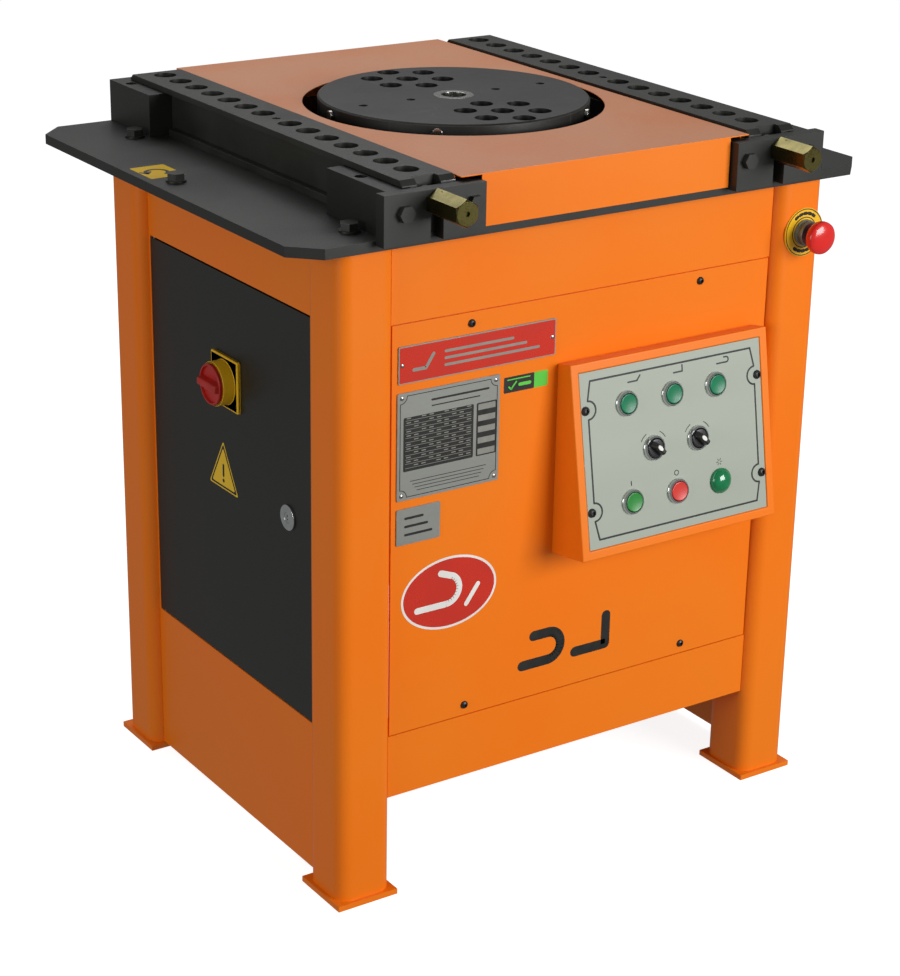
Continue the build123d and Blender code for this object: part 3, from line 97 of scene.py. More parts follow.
def finish(
    name, base, other, patch, rough, grain, depth, worn=None, worn_rough=0.35, metal=0.0,
    wear=0.5, stretch=(1, 1, 1), constants=None,
):
    """A finish with slow colour patches, fine grain in gloss and relief, and worn edges.

    patch and grain are feature sizes in millimetres, rough is the lowest and highest
    roughness, depth is the relief in millimetres, and wear is how much of an edge has
    rubbed through to the worn colour.
    """
    material, tree, shader, place = surface(name, constants or {})
    place = add(
        tree, "ShaderNodeMapping", {"Vector": place, "Scale": stretch}
    ).outputs["Vector"]
    slow = add(
        tree, "ShaderNodeTexNoise", {"Vector": place, "Scale": size(patch), "Detail": 4.0}
    )
    fine = add(
        tree, "ShaderNodeTexNoise", {"Vector": place, "Scale": size(grain), "Detail": 3.0}
    )
    spread = add(
        tree, "ShaderNodeMapRange",
        {"Value": slow.outputs["Fac"], "From Min": 0.35, "From Max": 0.65},
    )
    tint = add(
        tree, "ShaderNodeMix",
        {0: spread.outputs["Result"], 6: linear(base), 7: linear(other)}, data_type="RGBA",
    )
    both = add(
        tree, "ShaderNodeMath", {0: slow.outputs["Fac"], 1: fine.outputs["Fac"]},
        operation="ADD",
    )
    gloss = add(
        tree, "ShaderNodeMapRange",
        {
            "Value": both.outputs[0], "From Min": 0.75, "From Max": 1.25,
            "To Min": rough[0], "To Max": rough[1],
        },
    )
    bump = add(
        tree, "ShaderNodeBump",
        {"Height": fine.outputs["Fac"], "Strength": 0.6, "Distance": depth * MM},
    )
    tree.links.new(bump.outputs["Normal"], shader.inputs["Normal"])
    colour = tint.outputs[2]
    roughness = gloss.outputs["Result"]
    if worn:
        edge = add(tree, "ShaderNodeAttribute", attribute_name="edge")
        rub = add(
            tree, "ShaderNodeTexNoise",
            {"Vector": place, "Scale": size(11), "Detail": 6.0, "Roughness": 0.7},
        )
        cut = add(
            tree, "ShaderNodeMapRange",
            {"Value": rub.outputs["Fac"], "From Min": 0.78 - 0.4 * wear,
             "From Max": 0.86 - 0.4 * wear},
        )
        bare = add(
            tree, "ShaderNodeMath", {0: cut.outputs["Result"], 1: edge.outputs["Fac"]},
            operation="MULTIPLY", use_clamp=True,
        ).outputs[0]
        colour = add(
            tree, "ShaderNodeMix", {0: bare, 6: colour, 7: linear(worn)}, data_type="RGBA"
        ).outputs[2]
        roughness = add(
            tree, "ShaderNodeMix", {0: bare, 2: roughness, 3: worn_rough}
        ).outputs[0]
        if not metal:
            tree.links.new(bare, shader.inputs["Metallic"])
    if metal:
        shader.inputs["Metallic"].default_value = metal
    tree.links.new(colour, shader.inputs["Base Color"])
    tree.links.new(roughness, shader.inputs["Roughness"])
    return material


# Sprayed two-coat enamel over steel: even, glossy, with faint orange peel of about 2 mm.
orange_enamel = finish(
    "orange_sprayed_enamel", "F0760E", "ED7A12", 260, (0.30, 0.42), 2.2, 0.012,
    worn="C9661F", worn_rough=0.45, wear=0.25, constants={"Specular IOR Level": 0.3},
)
# The same orange enamel on the cover's upward faces, with painted sky glare: the paler tan
# colour stands for the white sky's reflection on them. Duller, with fine scuffs.
sky_glare_enamel = finish(
    "orange_enamel_painted_sky_glare", "D98450", "D08A5E", 180, (0.34, 0.50), 3.0, 0.015,
    worn="B56A35", worn_rough=0.5, wear=0.4, constants={"Specular IOR Level": 0.8},
)
# Black satin enamel, sprayed thin: soft sheen and a slight dusty unevenness.
black_enamel = finish(
    "black_satin_enamel", "171815", "1E1F1B", 120, (0.38, 0.52), 1.6, 0.02,
    worn="3C3C37", worn_rough=0.4, wear=0.45,
)
# Chemically blacked mild steel, oiled: nearly black, grey where it has been handled.
blacked_steel = finish(
    "blacked_oiled_steel", "1A1B18", "252621", 70, (0.34, 0.55), 1.2, 0.02,
    worn="6A6A64", worn_rough=0.32, wear=0.55,
)
# Yellow-passivated zinc on drawn hexagon bar: a greenish brass sheen, silver at rubbed edges.
zinc_plate = finish(
    "yellow_passivated_zinc", "6B6238", "58532F", 22, (0.22, 0.38), 0.8, 0.008,
    worn="A39D76", worn_rough=0.25, metal=1.0, wear=0.7,
)
# Bare machined steel, lightly oiled: bright, with fine cutter marks.
bright_steel = finish(
    "bright_machined_steel", "B9B9B4", "9C9C97", 15, (0.18, 0.34), 0.6, 0.006,
    worn="D8D8D4", worn_rough=0.15, metal=1.0,
)
# Zinc-coated sheet: pale grey, with soft crystal patches about 18 mm across.
galvanised = finish(
    "galvanised_sheet", "A4A8A8", "8C9192", 18, (0.35, 0.5), 2.0, 0.008,
    worn="C0C2C2", metal=1.0,
)
# Thick grey paint over a sand casting: dull, with a rough skin of about 2.5 mm lumps.
cast_paint = finish(
    "grey_paint_on_rough_casting", "5C6468", "4F575B", 60, (0.45, 0.62), 2.5, 0.12,
    worn="7A8084", wear=0.5,
)
# Sintered bronze bushes: warm, slightly porous metal.
bearing_bronze = finish(
    "sintered_bronze", "A98246", "94703B", 12, (0.3, 0.45), 0.6, 0.008, metal=1.0
)
# Moulded belt rubber: matt black with a fine moulding grain.
belt_rubber = finish("moulded_belt_rubber", "1B1B1B", "242424", 14, (0.65, 0.8), 0.7, 0.04)
# Anodised plate with a fine etched grain, as on instrument fronts.
panel_grey = finish(
    "grey_anodised_panel", "A3AA9C", "9CA396", 140, (0.36, 0.46), 0.9, 0.006,
    worn="D2D5CE", wear=0.5, stretch=(0.2, 1, 1),
)
# Etched aluminium plate: brushed along its length, dull silver.
plate_silver = finish(
    "etched_aluminium_plate", "A9ABA4", "999B95", 30, (0.3, 0.44), 0.9, 0.006,
    worn="D5D6D0", metal=0.6, wear=0.6, stretch=(0.2, 1, 1),
)
# Chromed brass rings: near-mirror, with the faintest haze.
chrome = finish(
    "chromed_brass", "DADCDC", "CDD0D0", 9, (0.08, 0.16), 0.5, 0.002, metal=1.0
)
# Moulded nylon caps: smooth, slightly soft to the light, with a satin face.
green_cap = finish(
    "green_moulded_nylon", "0F7A52", "0C6F4A", 9, (0.28, 0.38), 0.5, 0.01,
    constants={"Subsurface Weight": 0.05, "Subsurface Radius": (0.002, 0.003, 0.002)},
)
start_cap = finish("leaf_green_moulded_nylon", "2F8B3C", "2A8036", 9, (0.28, 0.38), 0.5, 0.01)
# A clear-coated green lens: dark and wet-looking, with a sharp highlight.
lamp_green = finish(
    "green_lamp_lens", "0B7A48", "0A6C40", 9, (0.12, 0.2), 0.5, 0.006,
    constants={"Coat Weight": 0.5},
)
red_cap = finish("red_moulded_nylon", "D23C32", "C8362D", 9, (0.28, 0.38), 0.5, 0.01)
# Polished red moulding: the shiny mushroom head.
red_gloss = finish(
    "glossy_red_moulding", "DE2A24", "D3241F", 24, (0.16, 0.24), 0.8, 0.006,
    constants={"Coat Weight": 0.3},
)
# Satin red moulding, matt enough to grip.
red_handle = finish("satin_red_moulding", "B82219", "A81E16", 24, (0.3, 0.42), 0.8, 0.012)
# Yellow moulded ABS with a fine spark-eroded texture of about 0.7 mm.
yellow_moulding = finish(
    "yellow_moulded_abs", "F2BE1B", "E9B417", 24, (0.32, 0.44), 0.7, 0.012
)
# Black moulded ABS, satin.
black_moulding = finish(
    "black_moulded_abs", "191A1A", "202121", 16, (0.3, 0.42), 0.7, 0.012
)
# White moulded inlay of the selector pointers.
white_moulding = finish(
    "white_moulded_abs", "ECEBE4", "E2E1D9", 16, (0.3, 0.4), 0.7, 0.01
)
# Screen inks and printed vinyl films: flat colour with a thin even gloss.
ink_black = finish("black_screen_ink", "141412", "1C1C1A", 14, (0.4, 0.55), 0.6, 0.004)
ink_red = finish("red_printed_film", "C8301F", "C02C1D", 40, (0.25, 0.34), 0.9, 0.004)
ink_white = finish("white_printed_film", "E9E7E2", "DFDDD8", 40, (0.25, 0.34), 0.9, 0.004)
ink_silver = finish(
    "silver_bare_metal_line", "A6A69E", "95958E", 14, (0.28, 0.4), 0.6, 0.004, metal=0.5
)
ink_yellow = finish("yellow_printed_film", "F0C419", "E6BA14", 40, (0.25, 0.34), 0.9, 0.004)
ink_green = finish("green_printed_film", "62CF4B", "58C443", 30, (0.28, 0.36), 0.9, 0.004)


def turned_disc_steel():
    """Blacked steel faced on a lathe: fine rings about the turntable's centre, and scuffs."""
    low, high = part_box("turntable_disc")
    centre = (low + high) / 2
    material, tree, shader, place = surface("blacked_steel_faced_on_a_lathe", {})
    centred = add(
        tree, "ShaderNodeMapping", {"Vector": place, "Location": (-centre.x, -centre.y, 0)}
    ).outputs["Vector"]
    flat = add(
        tree, "ShaderNodeMapping", {"Vector": centred, "Scale": (1, 1, 0)}
    ).outputs["Vector"]
    rings = add(
        tree, "ShaderNodeTexWave",
        {"Vector": flat, "Scale": size(3) / 6.3, "Distortion": 0.8, "Detail": 2.0},
        wave_type="RINGS", rings_direction="Z",
    )
    clouds = add(
        tree, "ShaderNodeTexNoise", {"Vector": centred, "Scale": size(90), "Detail": 6.0}
    )
    scuffs = add(
        tree, "ShaderNodeTexNoise",
        {"Vector": flat, "Scale": size(26), "Detail": 8.0, "Roughness": 0.75,
         "Distortion": 1.4},
    )
    scratch = add(
        tree, "ShaderNodeMapRange",
        {"Value": scuffs.outputs["Fac"], "From Min": 0.60, "From Max": 0.72, "To Max": 0.35},
    )
    edge = add(tree, "ShaderNodeAttribute", attribute_name="edge")
    rim = add(
        tree, "ShaderNodeMath", {0: edge.outputs["Fac"], 1: clouds.outputs["Fac"]},
        operation="MULTIPLY",
    )
    light = add(
        tree, "ShaderNodeMath", {0: scratch.outputs["Result"], 1: rim.outputs[0]},
        operation="MAXIMUM", use_clamp=True,
    )
    base = add(
        tree, "ShaderNodeMix",
        {0: clouds.outputs["Fac"], 6: linear("111210"), 7: linear("1A1B19")},
        data_type="RGBA",
    )
    colour = add(
        tree, "ShaderNodeMix", {0: light.outputs[0], 6: base.outputs[2], 7: linear("77786F")},
        data_type="RGBA",
    )
    gloss = add(
        tree, "ShaderNodeMapRange",
        {"Value": clouds.outputs["Fac"], "From Min": 0.3, "From Max": 0.7, "To Min": 0.34,
         "To Max": 0.5},
    )
    bump = add(
        tree, "ShaderNodeBump",
        {"Height": rings.outputs["Fac"], "Strength": 0.25, "Distance": 0.02 * MM},
    )
    tree.links.new(colour.outputs[2], shader.inputs["Base Color"])
    tree.links.new(gloss.outputs["Result"], shader.inputs["Roughness"])
    tree.links.new(bump.outputs["Normal"], shader.inputs["Normal"])
    return material


disc_steel = turned_disc_steel()

# ---------------------------------------------------------------- making pieces


def piece(name, shape, material, body, stands_for=(), smooth=35):
    """Turns a finished bmesh into a piece of the object."""
    mesh = bpy.data.meshes.new(name)
    shape.to_mesh(mesh)
    shape.free()
    for face in mesh.polygons:
        face.use_smooth = True
    mesh.set_sharp_from_angle(angle=math.radians(smooth))
    made = bpy.data.objects.new(name, mesh)
    bpy.context.scene.collection.objects.link(made)
    made.data.materials.append(material)
    even = made.modifiers.new("even_shading", "WEIGHTED_NORMAL")
    even.keep_sharp = True
    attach(made, body)
    if stands_for:
        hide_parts(*stands_for)
    return made


def round_edges(shape, width, segments=2, angle=28):
    """Rounds every sharp edge and marks the rounding, so that a finish can wear there."""
    sharp = [
        edge for edge in shape.edges
        if len(edge.link_faces) == 2 and edge.calc_face_angle(0) > math.radians(angle)
    ]
    mark = shape.loops.layers.float.new("edge")
    made = bmesh.ops.bevel(
        shape, geom=sharp, offset=width * MM, offset_type="OFFSET", segments=segments,
        affect="EDGES", profile=0.5, material=-1, clamp_overlap=True,
    )
    for face in made["faces"]:
        for loop in face.loops:
            loop[mark] = 1.0
    return shape


def softened(node, material, width, segments=2, angle=28):
    """A copy of a CAD node with its sharp edges rounded, standing for the node."""
    shape = bmesh.new()
    shape.from_mesh(frame["nodes"][node].data)
    bmesh.ops.remove_doubles(shape, verts=shape.verts, dist=0.01 * MM)
    bmesh.ops.dissolve_limit(
        shape, angle_limit=math.radians(0.4), verts=shape.verts, edges=shape.edges,
        use_dissolve_boundaries=False,
    )
    round_edges(shape, width, segments, angle)
    return piece(f"{node}_finished", shape, material, body_of_node[node], (node,))


def repaint(material, *nodes):
    """Gives CAD nodes whose shape is right a finish."""
    for node in nodes:
        for slot in frame["nodes"][node].material_slots:
            slot.material = material


def turned(shape, place, profile, steps=40):
    """Spins a profile of (radius, height) in millimetres about a frame's Z."""
    points = [place @ Vector((r * MM, 0, h * MM)) for r, h in profile]
    corners = [shape.verts.new(point) for point in points]
    lines = [shape.edges.new(pair) for pair in zip(corners, corners[1:])]
    axis = (place.to_3x3() @ Vector((0, 0, 1))).normalized()
    bmesh.ops.spin(
        shape, geom=corners + lines, cent=place.translation, axis=axis, dvec=(0, 0, 0),
        angle=2 * math.pi, steps=steps, use_merge=True,
    )


def close_up(shape):
    """Merges the poles and seams of turned shapes and turns their faces outward."""
    bmesh.ops.remove_doubles(shape, verts=shape.verts, dist=0.005 * MM)
    bmesh.ops.recalc_face_normals(shape, faces=shape.faces)
    return shape


def slab(shape, place, u, v, wide, high, low, top, turn=0.0):
    """A thin block on a frame's XY plane, centred at u, v, between two heights."""
    where = (
        place
        @ Matrix.Translation((u * MM, v * MM, (low + top) / 2 * MM))
        @ Matrix.Rotation(math.radians(turn), 4, "Z")
        @ Matrix.Diagonal((wide * MM, high * MM, (top - low) * MM, 1))
    )
    return bmesh.ops.create_cube(shape, size=1, matrix=where)["verts"]


def card(shape, place, u, v, wide, high, low, top, corner=1.5):
    """A thin plate or film with rounded corners."""
    made = slab(shape, place, u, v, wide, high, low, top)
    out = (place.to_3x3() @ Vector((0, 0, 1))).normalized()
    upright = [
        edge for edge in {e for vert in made for e in vert.link_edges}
        if abs((edge.verts[0].co - edge.verts[1].co).normalized().dot(out)) > 0.9
    ]
    bmesh.ops.bevel(
        shape, geom=upright, offset=corner * MM, segments=3, affect="EDGES", profile=0.5,
        material=-1, clamp_overlap=True,
    )


def stroke(shape, place, points, width, low, top):
    """A drawn line through points, as thin blocks with round joints."""
    for a, b in zip(points, points[1:]):
        long = math.dist(a, b)
        if long > 0:
            turn = math.degrees(math.atan2(b[1] - a[1], b[0] - a[0]))
            slab(
                shape, place, (a[0] + b[0]) / 2, (a[1] + b[1]) / 2, long, width, low, top, turn
            )
    for a in points:
        disc(shape, place, a[0], a[1], width / 2, low, top - 0.01, 12)


def grip_bar(shape, place, wide, high, low, top, taper, rounding, turn=0.0):
    """A bar across a knob, its top tapered along and across, rounded all over."""
    bar = slab(shape, place, 0, 0, wide, high, low, top, turn)
    lifted = [v for v in bar if (place.inverted() @ v.co).z > (low + top) / 2 * MM]
    bmesh.ops.scale(shape, vec=(*taper, 1), verts=lifted, space=place.inverted())
    edges = {edge for vert in bar for edge in vert.link_edges}
    bmesh.ops.bevel(
        shape, geom=list(edges), offset=rounding * MM, segments=4, affect="EDGES",
        profile=0.5, material=-1, clamp_overlap=True,
    )


def disc(shape, place, u, v, radius, low, top, steps=32, squash=1.0):
    """A thin round or oval plate on a frame's XY plane."""
    where = (
        place
        @ Matrix.Translation((u * MM, v * MM, (low + top) / 2 * MM))
        @ Matrix.Diagonal((1, squash, 1, 1))
    )
    bmesh.ops.create_cone(
        shape, cap_ends=True, segments=steps, radius1=radius * MM, radius2=radius * MM,
        depth=(top - low) * MM, matrix=where,
    )


def arc(u, v, radius, start, end, count=9):
    """Points along an arc, angles in degrees."""
    return [
        (
            u + radius * math.cos(math.radians(start + (end - start) * n / (count - 1))),
            v + radius * math.sin(math.radians(start + (end - start) * n / (count - 1))),
        )
        for n in range(count)
    ]


def facing(origin, right, out):
    """A frame whose X is right, whose Z points out of a face, and whose Y is up on it."""
    right = Vector(right).normalized()
    out = Vector(out).normalized()
    up = out.cross(right)
    turn = Matrix((right, up, out)).transposed().to_4x4()
    return Matrix.Translation(Vector(origin)) @ turn


def middle(node):
    """The middle of a CAD node's box."""
    low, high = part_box(node)
    return (low + high) / 2


def islands(node):
    """The boxes of a CAD node's separate solids, in a steady order."""
    shape = bmesh.new()
    shape.from_mesh(frame["nodes"][node].data)
    bmesh.ops.remove_doubles(shape, verts=shape.verts, dist=0.01 * MM)
    left = set(shape.verts)
    found = []
    while left:
        group = [left.pop()]
        for vert in group:
            for edge in vert.link_edges:
                other = edge.other_vert(vert)
                if other in left:
                    left.discard(other)
                    group.append(other)
        low = Vector([min(v.co[i] for v in group) for i in range(3)])
        high = Vector([max(v.co[i] for v in group) for i in range(3)])
        found.append((low, high))
    shape.free()
    return sorted(found, key=lambda pair: tuple(round(c, 4) for c in pair[0]))


# ---------------------------------------------------------------- cabinet and deck

softened("legs", orange_enamel, 0.8)
for node in ("front_top_rail", "front_bottom_rail", "front_cover"):
    softened(node, orange_enamel, 0.7)
for node in ("left_side_panel", "right_side_panel", "back_panel"):
    softened(node, orange_enamel, 0.6)
softened("control_box", orange_enamel, 1.4, 3)
cover = softened("top_cover", orange_enamel, 0.5)
cover.data.materials.append(sky_glare_enamel)
# the cover's upward faces take the tan enamel, a painted reflection of the sky's glare
FACES_UP = 0.7
for cover_part in cover.data.polygons:
    if cover_part.normal.z > FACES_UP:
        cover_part.material_index = 1
softened("door", black_enamel, 0.7)
softened("base_plate", black_enamel, 1.2)
softened("corner_blocks", black_enamel, 1.0)
softened("rail_guides", blacked_steel, 0.6)
softened("left_front_plate", black_enamel, 0.8)
softened("right_front_plate", black_enamel, 0.8)
softened("hex_bolts", blacked_steel, 0.6)
softened("left_rail", blacked_steel, 0.8)
softened("right_rail", blacked_steel, 0.8)
softened("turntable_disc", disc_steel, 0.6)
softened("trip_screws", bright_steel, 0.5)
softened("centre_bush", bright_steel, 0.8)
softened("left_hex_head", zinc_plate, 0.7)
softened("right_hex_head", zinc_plate, 0.7)
softened("left_spindle", bright_steel, 0.5)
softened("right_spindle", bright_steel, 0.5)
softened("main_shaft", blacked_steel, 0.6)
softened("isolator_base", yellow_moulding, 0.8)
softened("door_lock", chrome, 0.6)
softened("lock_cam", chrome, 0.3)
softened("cable_gland", black_moulding, 0.5)
softened("control_panel", panel_grey, 0.4)
repaint(bright_steel, "main_gear", "pinion_shaft", "motor_shaft", "hinge_pins")
repaint(cast_paint, "gear_case", "driven_pulley", "motor_pulley", "motor_body")
repaint(bearing_bronze, "shaft_bushes")
repaint(belt_rubber, "drive_belts")
repaint(galvanised, "electrical_plate", "motor_hanger")
repaint(black_moulding, "switchgear")

# ---------------------------------------------------------------- control panel

left_turn = joints["direction_turn"]
right_turn = joints["mode_turn"]
panel_out = Vector(left_turn["axis"])
panel_at = (Vector(left_turn["pos_m"]) + Vector(right_turn["pos_m"])) / 2
panel = facing(panel_at, (1, 0, 0), panel_out)


def on_panel(point):
    """Where a point lies on the panel, in millimetres right and up from its middle."""
    near = panel.inverted() @ point
    return near.x / MM, near.y / MM


def panel_spot(u, v):
    """A frame standing on the panel at a spot."""
    return panel @ Matrix.Translation((u * MM, v * MM, 0))


caps = {
    "p1_cap": green_cap, "p2_cap": green_cap, "p3_cap": green_cap,
    "on_cap": start_cap, "off_cap": red_cap,
}
SELECTOR_TURN = 135
selector_spots = {
    "left_selector": on_panel(Vector(left_turn["pos_m"])),
    "right_selector": on_panel(Vector(right_turn["pos_m"])),
}
cap_spots = {name: on_panel(middle(name)) for name in caps}

rings = bmesh.new()
for u, v in list(cap_spots.values()) + list(selector_spots.values()):
    turned(
        rings, panel_spot(u, v),
        [(12.2, 0), (15.4, 0), (15.4, 1.2), (14.9, 2.0), (14.6, 3.8), (13.6, 4.6),
         (12.6, 4.6), (12.2, 4.0), (12.2, 0)],
    )
piece("bezel_rings", close_up(rings), chrome, "cabinet", ("button_bezels",), 25)

for name, material in caps.items():
    shape = bmesh.new()
    turned(
        shape, panel_spot(*cap_spots[name]),
        [(0, -10), (5.5, -10), (5.5, -1), (11.6, -1), (11.6, 4.6), (11.2, 5.3), (10.6, 5.5),
         (9.8, 5.2), (5, 4.7), (0, 4.6)],
    )
    piece(f"{name}_moulding", close_up(shape), material, body_of_node[name], (name,), 30)

lamp = bmesh.new()
turned(
    lamp, panel_spot(*on_panel(middle("power_lamp"))),
    [(0, -10), (6, -10), (6, -2), (12.2, -2), (12.2, 0), (15.4, 0), (15.4, 2.2), (14.6, 3.2),
     (13.8, 3.2), (13.2, 4.4), (11.6, 6.6), (8.4, 8.4), (4.4, 9.3), (0, 9.6)],
)
piece("lamp_lens", close_up(lamp), lamp_green, "cabinet", ("power_lamp",), 25)

for name, (u, v) in selector_spots.items():
    spot = panel_spot(u, v)
    shape = bmesh.new()
    turned(
        shape, spot,
        [(0, -10), (5.5, -10), (5.5, 0), (11.4, 0), (11.4, 4.4), (10.6, 5.6), (8.8, 6.0),
         (0, 6.0)],
    )
    close_up(shape)
    grip_bar(shape, spot, 22, 8.5, 5.6, 16, (0.72, 0.72), 1.9, SELECTOR_TURN)
    piece(f"{name}_knob", shape, black_moulding, body_of_node[name], (name,), 30)
    mark = bmesh.new()
    head = spot @ Matrix.Rotation(math.radians(SELECTOR_TURN), 4, "Z")
    disc(mark, head, 2.6, 0, 4.2, 15.4, 16.5, 20, 0.56)
    disc(mark, head, 4.6, 0, 2.3, 15.4, 16.45, 20, 0.9)
    piece(f"{name}_pointer", mark, white_moulding, body_of_node[name])


def button_screw(shape, place, head, tall):
    """A dark socket-head button screw."""
    r = head / 2
    turned(
        shape, place,
        [(0, 0), (r, 0), (r, 0.25 * tall), (0.9 * r, 0.62 * tall), (0.62 * r, 0.92 * tall),
         (0.45 * r, tall), (0.45 * r, 0.35 * tall), (0, 0.3 * tall)],
        24,
    )


# a screw this near the panel's middle and this little over its face holds the panel
PANEL_REACH_U = 140
PANEL_REACH_V = 110
PANEL_REACH_OUT = 5
cover_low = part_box("front_cover")[0]
screws = bmesh.new()
for low, high in islands("cover_screws"):
    centre = (low + high) / 2
    u, v = on_panel(centre)
    near = (panel.inverted() @ centre).z / MM
    if abs(u) < PANEL_REACH_U and abs(v) < PANEL_REACH_V and 0 < near < PANEL_REACH_OUT:
        button_screw(screws, panel_spot(u, v), 11.0, 3.4)
    else:
        spot = facing((centre.x, cover_low.y, centre.z), (1, 0, 0), (0, -1, 0))
        button_screw(screws, spot, 9.6, 3.2)
piece("button_screws", close_up(screws), black_moulding, "cabinet", ("cover_screws",), 30)

# printed border, stepping round each screw, and small bend symbols
PRINT = 0.12
panel_low, panel_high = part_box("control_panel")
half_w = (panel_high.x - panel_low.x) / 2 / MM
half_h = (panel_high.z - panel_low.z) / 2 / MM / -panel_out.y
border_x = half_w - 15
border_y = half_h - 11
SCREW_V = 60.5
NOTCH = 11
BORDER_LINE = 2.3
border = bmesh.new()
for side in (-1, 1):
    hooks = []
    for v in (SCREW_V, -SCREW_V):
        start, end = (90, 270) if side > 0 else (90, -90)
        hooks += arc(side * (border_x + 5), v, NOTCH, start, end, 11)
    run = [(side * border_x, border_y)] + hooks + [(side * border_x, -border_y)]
    stroke(border, panel, run, BORDER_LINE, 0, PRINT)
for v in (-border_y, border_y):
    stroke(border, panel, [(-border_x, v), (border_x, v)], BORDER_LINE, 0, PRINT)


def bend_sign(shape, place, u, v, reach, bend, width):
    """A bar with its end bent by an angle, or hooked right round at 180."""
    if bend >= 180:
        points = [(u - reach, v), (u + 0.45 * reach, v)]
        points += arc(u + 0.45 * reach, v + 0.32 * reach, 0.32 * reach, -90, 90, 9)
        points += [(u + 0.1 * reach, v + 0.64 * reach)]
    else:
        tip = math.radians(bend)
        points = [
            (u - reach, v), (u + 0.3 * reach, v),
            (u + 0.3 * reach + 0.75 * reach * math.cos(tip), v + 0.75 * reach * math.sin(tip)),
        ]
    stroke(shape, place, points, width, 0, PRINT)


for name, bend in (("p1_cap", 50), ("p2_cap", 90), ("p3_cap", 180)):
    u, v = cap_spots[name]
    bend_sign(border, panel, u + 14, v + 24, 10, bend, 1.9)
for name, (u, v) in selector_spots.items():
    stroke(border, panel, arc(u, v, 20.5, 120, 150, 6), 1.0, 0, PRINT)
    stroke(border, panel, arc(u, v, 20.5, 30, 60, 6), 1.0, 0, PRINT)
u, v = cap_spots["on_cap"]
slab(border, panel, u, v + 22, 1.3, 6, 0, PRINT)
u, v = cap_spots["off_cap"]
stroke(border, panel, arc(u, v + 22, 3, 0, 360, 17), 1.0, 0, PRINT)
u, v = on_panel(middle("power_lamp"))
for n in range(6):
    ray = arc(u, v + 23, 1.8, 60 * n, 60 * n, 2)[0]
    tip = arc(u, v + 23, 4.2, 60 * n, 60 * n, 2)[0]
    stroke(border, panel, [ray, tip], 0.8, 0, PRINT)
piece("panel_print", border, ink_black, "cabinet")

# ---------------------------------------------------------------- plates and stickers

PLATE_T = 1.5
INK_TOP = 1.6
LINE_TOP = 1.72
# lower left corners of the marks on the cover, and the oval's middle, as X and Z in metres
OVAL_AT = (-0.187, 0.367)
MARK_AT = (-0.080, 0.237)
CHECK_AT = (-0.117, 0.5965)
face = facing((cover_low.x, cover_low.y, cover_low.z), (1, 0, 0), (0, -1, 0))


def plate_boxes():
    """The name, data and small plates' boxes, largest first."""
    wide = [pair for pair in islands("rating_plates") if (pair[1] - pair[0]).x > 20 * MM]
    return sorted(wide, key=lambda p: -(p[1] - p[0]).x * (p[1] - p[0]).z)


def on_cover(x, z):
    """Millimetres right and up from the cover's lower left corner."""
    return (x - cover_low.x) / MM, (z - cover_low.z) / MM


def outline(box):
    """A box's left, bottom, right and top on the cover, in millimetres."""
    low, high = box
    return on_cover(low.x, low.z) + on_cover(high.x, high.z)


plates = bmesh.new()
data_box, name_box, mark_box = plate_boxes()
for box in (data_box, name_box, mark_box):
    u0, v0, u1, v1 = outline(box)
    card(plates, face, (u0 + u1) / 2, (v0 + v1) / 2, u1 - u0, v1 - v0, 0, PLATE_T, 2)
round_edges(plates, 0.3, 1)
piece("metal_plates", plates, plate_silver, "cabinet", ("rating_plates",))

u0, v0, u1, v1 = outline(data_box)
corners = [(u0 + 6, v0 + 6), (u1 - 6, v0 + 6), (u0 + 6, v1 - 6), (u1 - 6, v1 - 6)]
u0, v0, u1, v1 = outline(name_box)
ends = [(u0 + 5, (v0 + v1) / 2), (u1 - 5, (v0 + v1) / 2)]
rivets = bmesh.new()
for spots in (corners, ends):
    for u, v in spots:
        spot = face @ Matrix.Translation((u * MM, v * MM, PLATE_T * MM))
        turned(rivets, spot, [(0, 0), (2.6, 0), (2.4, 0.5), (1.6, 1.0), (0, 1.2)], 20)
piece("plate_rivets", close_up(rivets), bright_steel, "cabinet")

red = bmesh.new()
card(red, face, (u0 + u1) / 2, (v0 + v1) / 2, u1 - u0 - 3, v1 - v0 - 3, PLATE_T, 1.62)
um, vm = on_cover(*OVAL_AT)
disc(red, face, um, vm, 63, 0, 0.26, 64, 0.665)
piece("red_film", red, ink_red, "cabinet")

silver = bmesh.new()
mid_v = (v0 + v1) / 2
bent_line = [(u0 + 20, mid_v - 7), (u0 + 36, mid_v - 7), (u0 + 46, mid_v + 8)]
stroke(silver, face, bent_line, 4, INK_TOP, LINE_TOP)
for n in range(3):
    stroke(
        silver, face, [(u0 + 62, mid_v - 8 + 8 * n), (u1 - 24 - 18 * n, mid_v - 8 + 8 * n)],
        3.2, INK_TOP, LINE_TOP,
    )
piece("name_plate_lines", silver, ink_silver, "cabinet")

# the data plate's dark table and its column of blanks lie at shares of its width and height
u0, v0, u1, v1 = outline(data_box)
wide = u1 - u0
tall = v1 - v0
TABLE_U = 0.40
COLUMN_U = 0.87
dark = bmesh.new()
for share, across in ((TABLE_U, 0.68), (COLUMN_U, 0.20)):
    card(
        dark, face, u0 + wide * share, v0 + tall * 0.52, wide * across, tall * 0.50,
        PLATE_T, INK_TOP,
    )
for sv in (v0 + 4, v1 - 4):
    stroke(dark, face, [(u0 + 13, sv), (u1 - 13, sv)], 0.9, PLATE_T, INK_TOP)
for su in (u0 + 4, u1 - 4):
    stroke(dark, face, [(su, v0 + 13), (su, v1 - 13)], 0.9, PLATE_T, INK_TOP)
for su, sv, start in (
    (u0 + 4, v0 + 4, 0), (u1 - 4, v0 + 4, 90), (u1 - 4, v1 - 4, 180), (u0 + 4, v1 - 4, 270),
):
    stroke(dark, face, arc(su, sv, 9, start, start + 90, 7), 0.9, PLATE_T, INK_TOP)
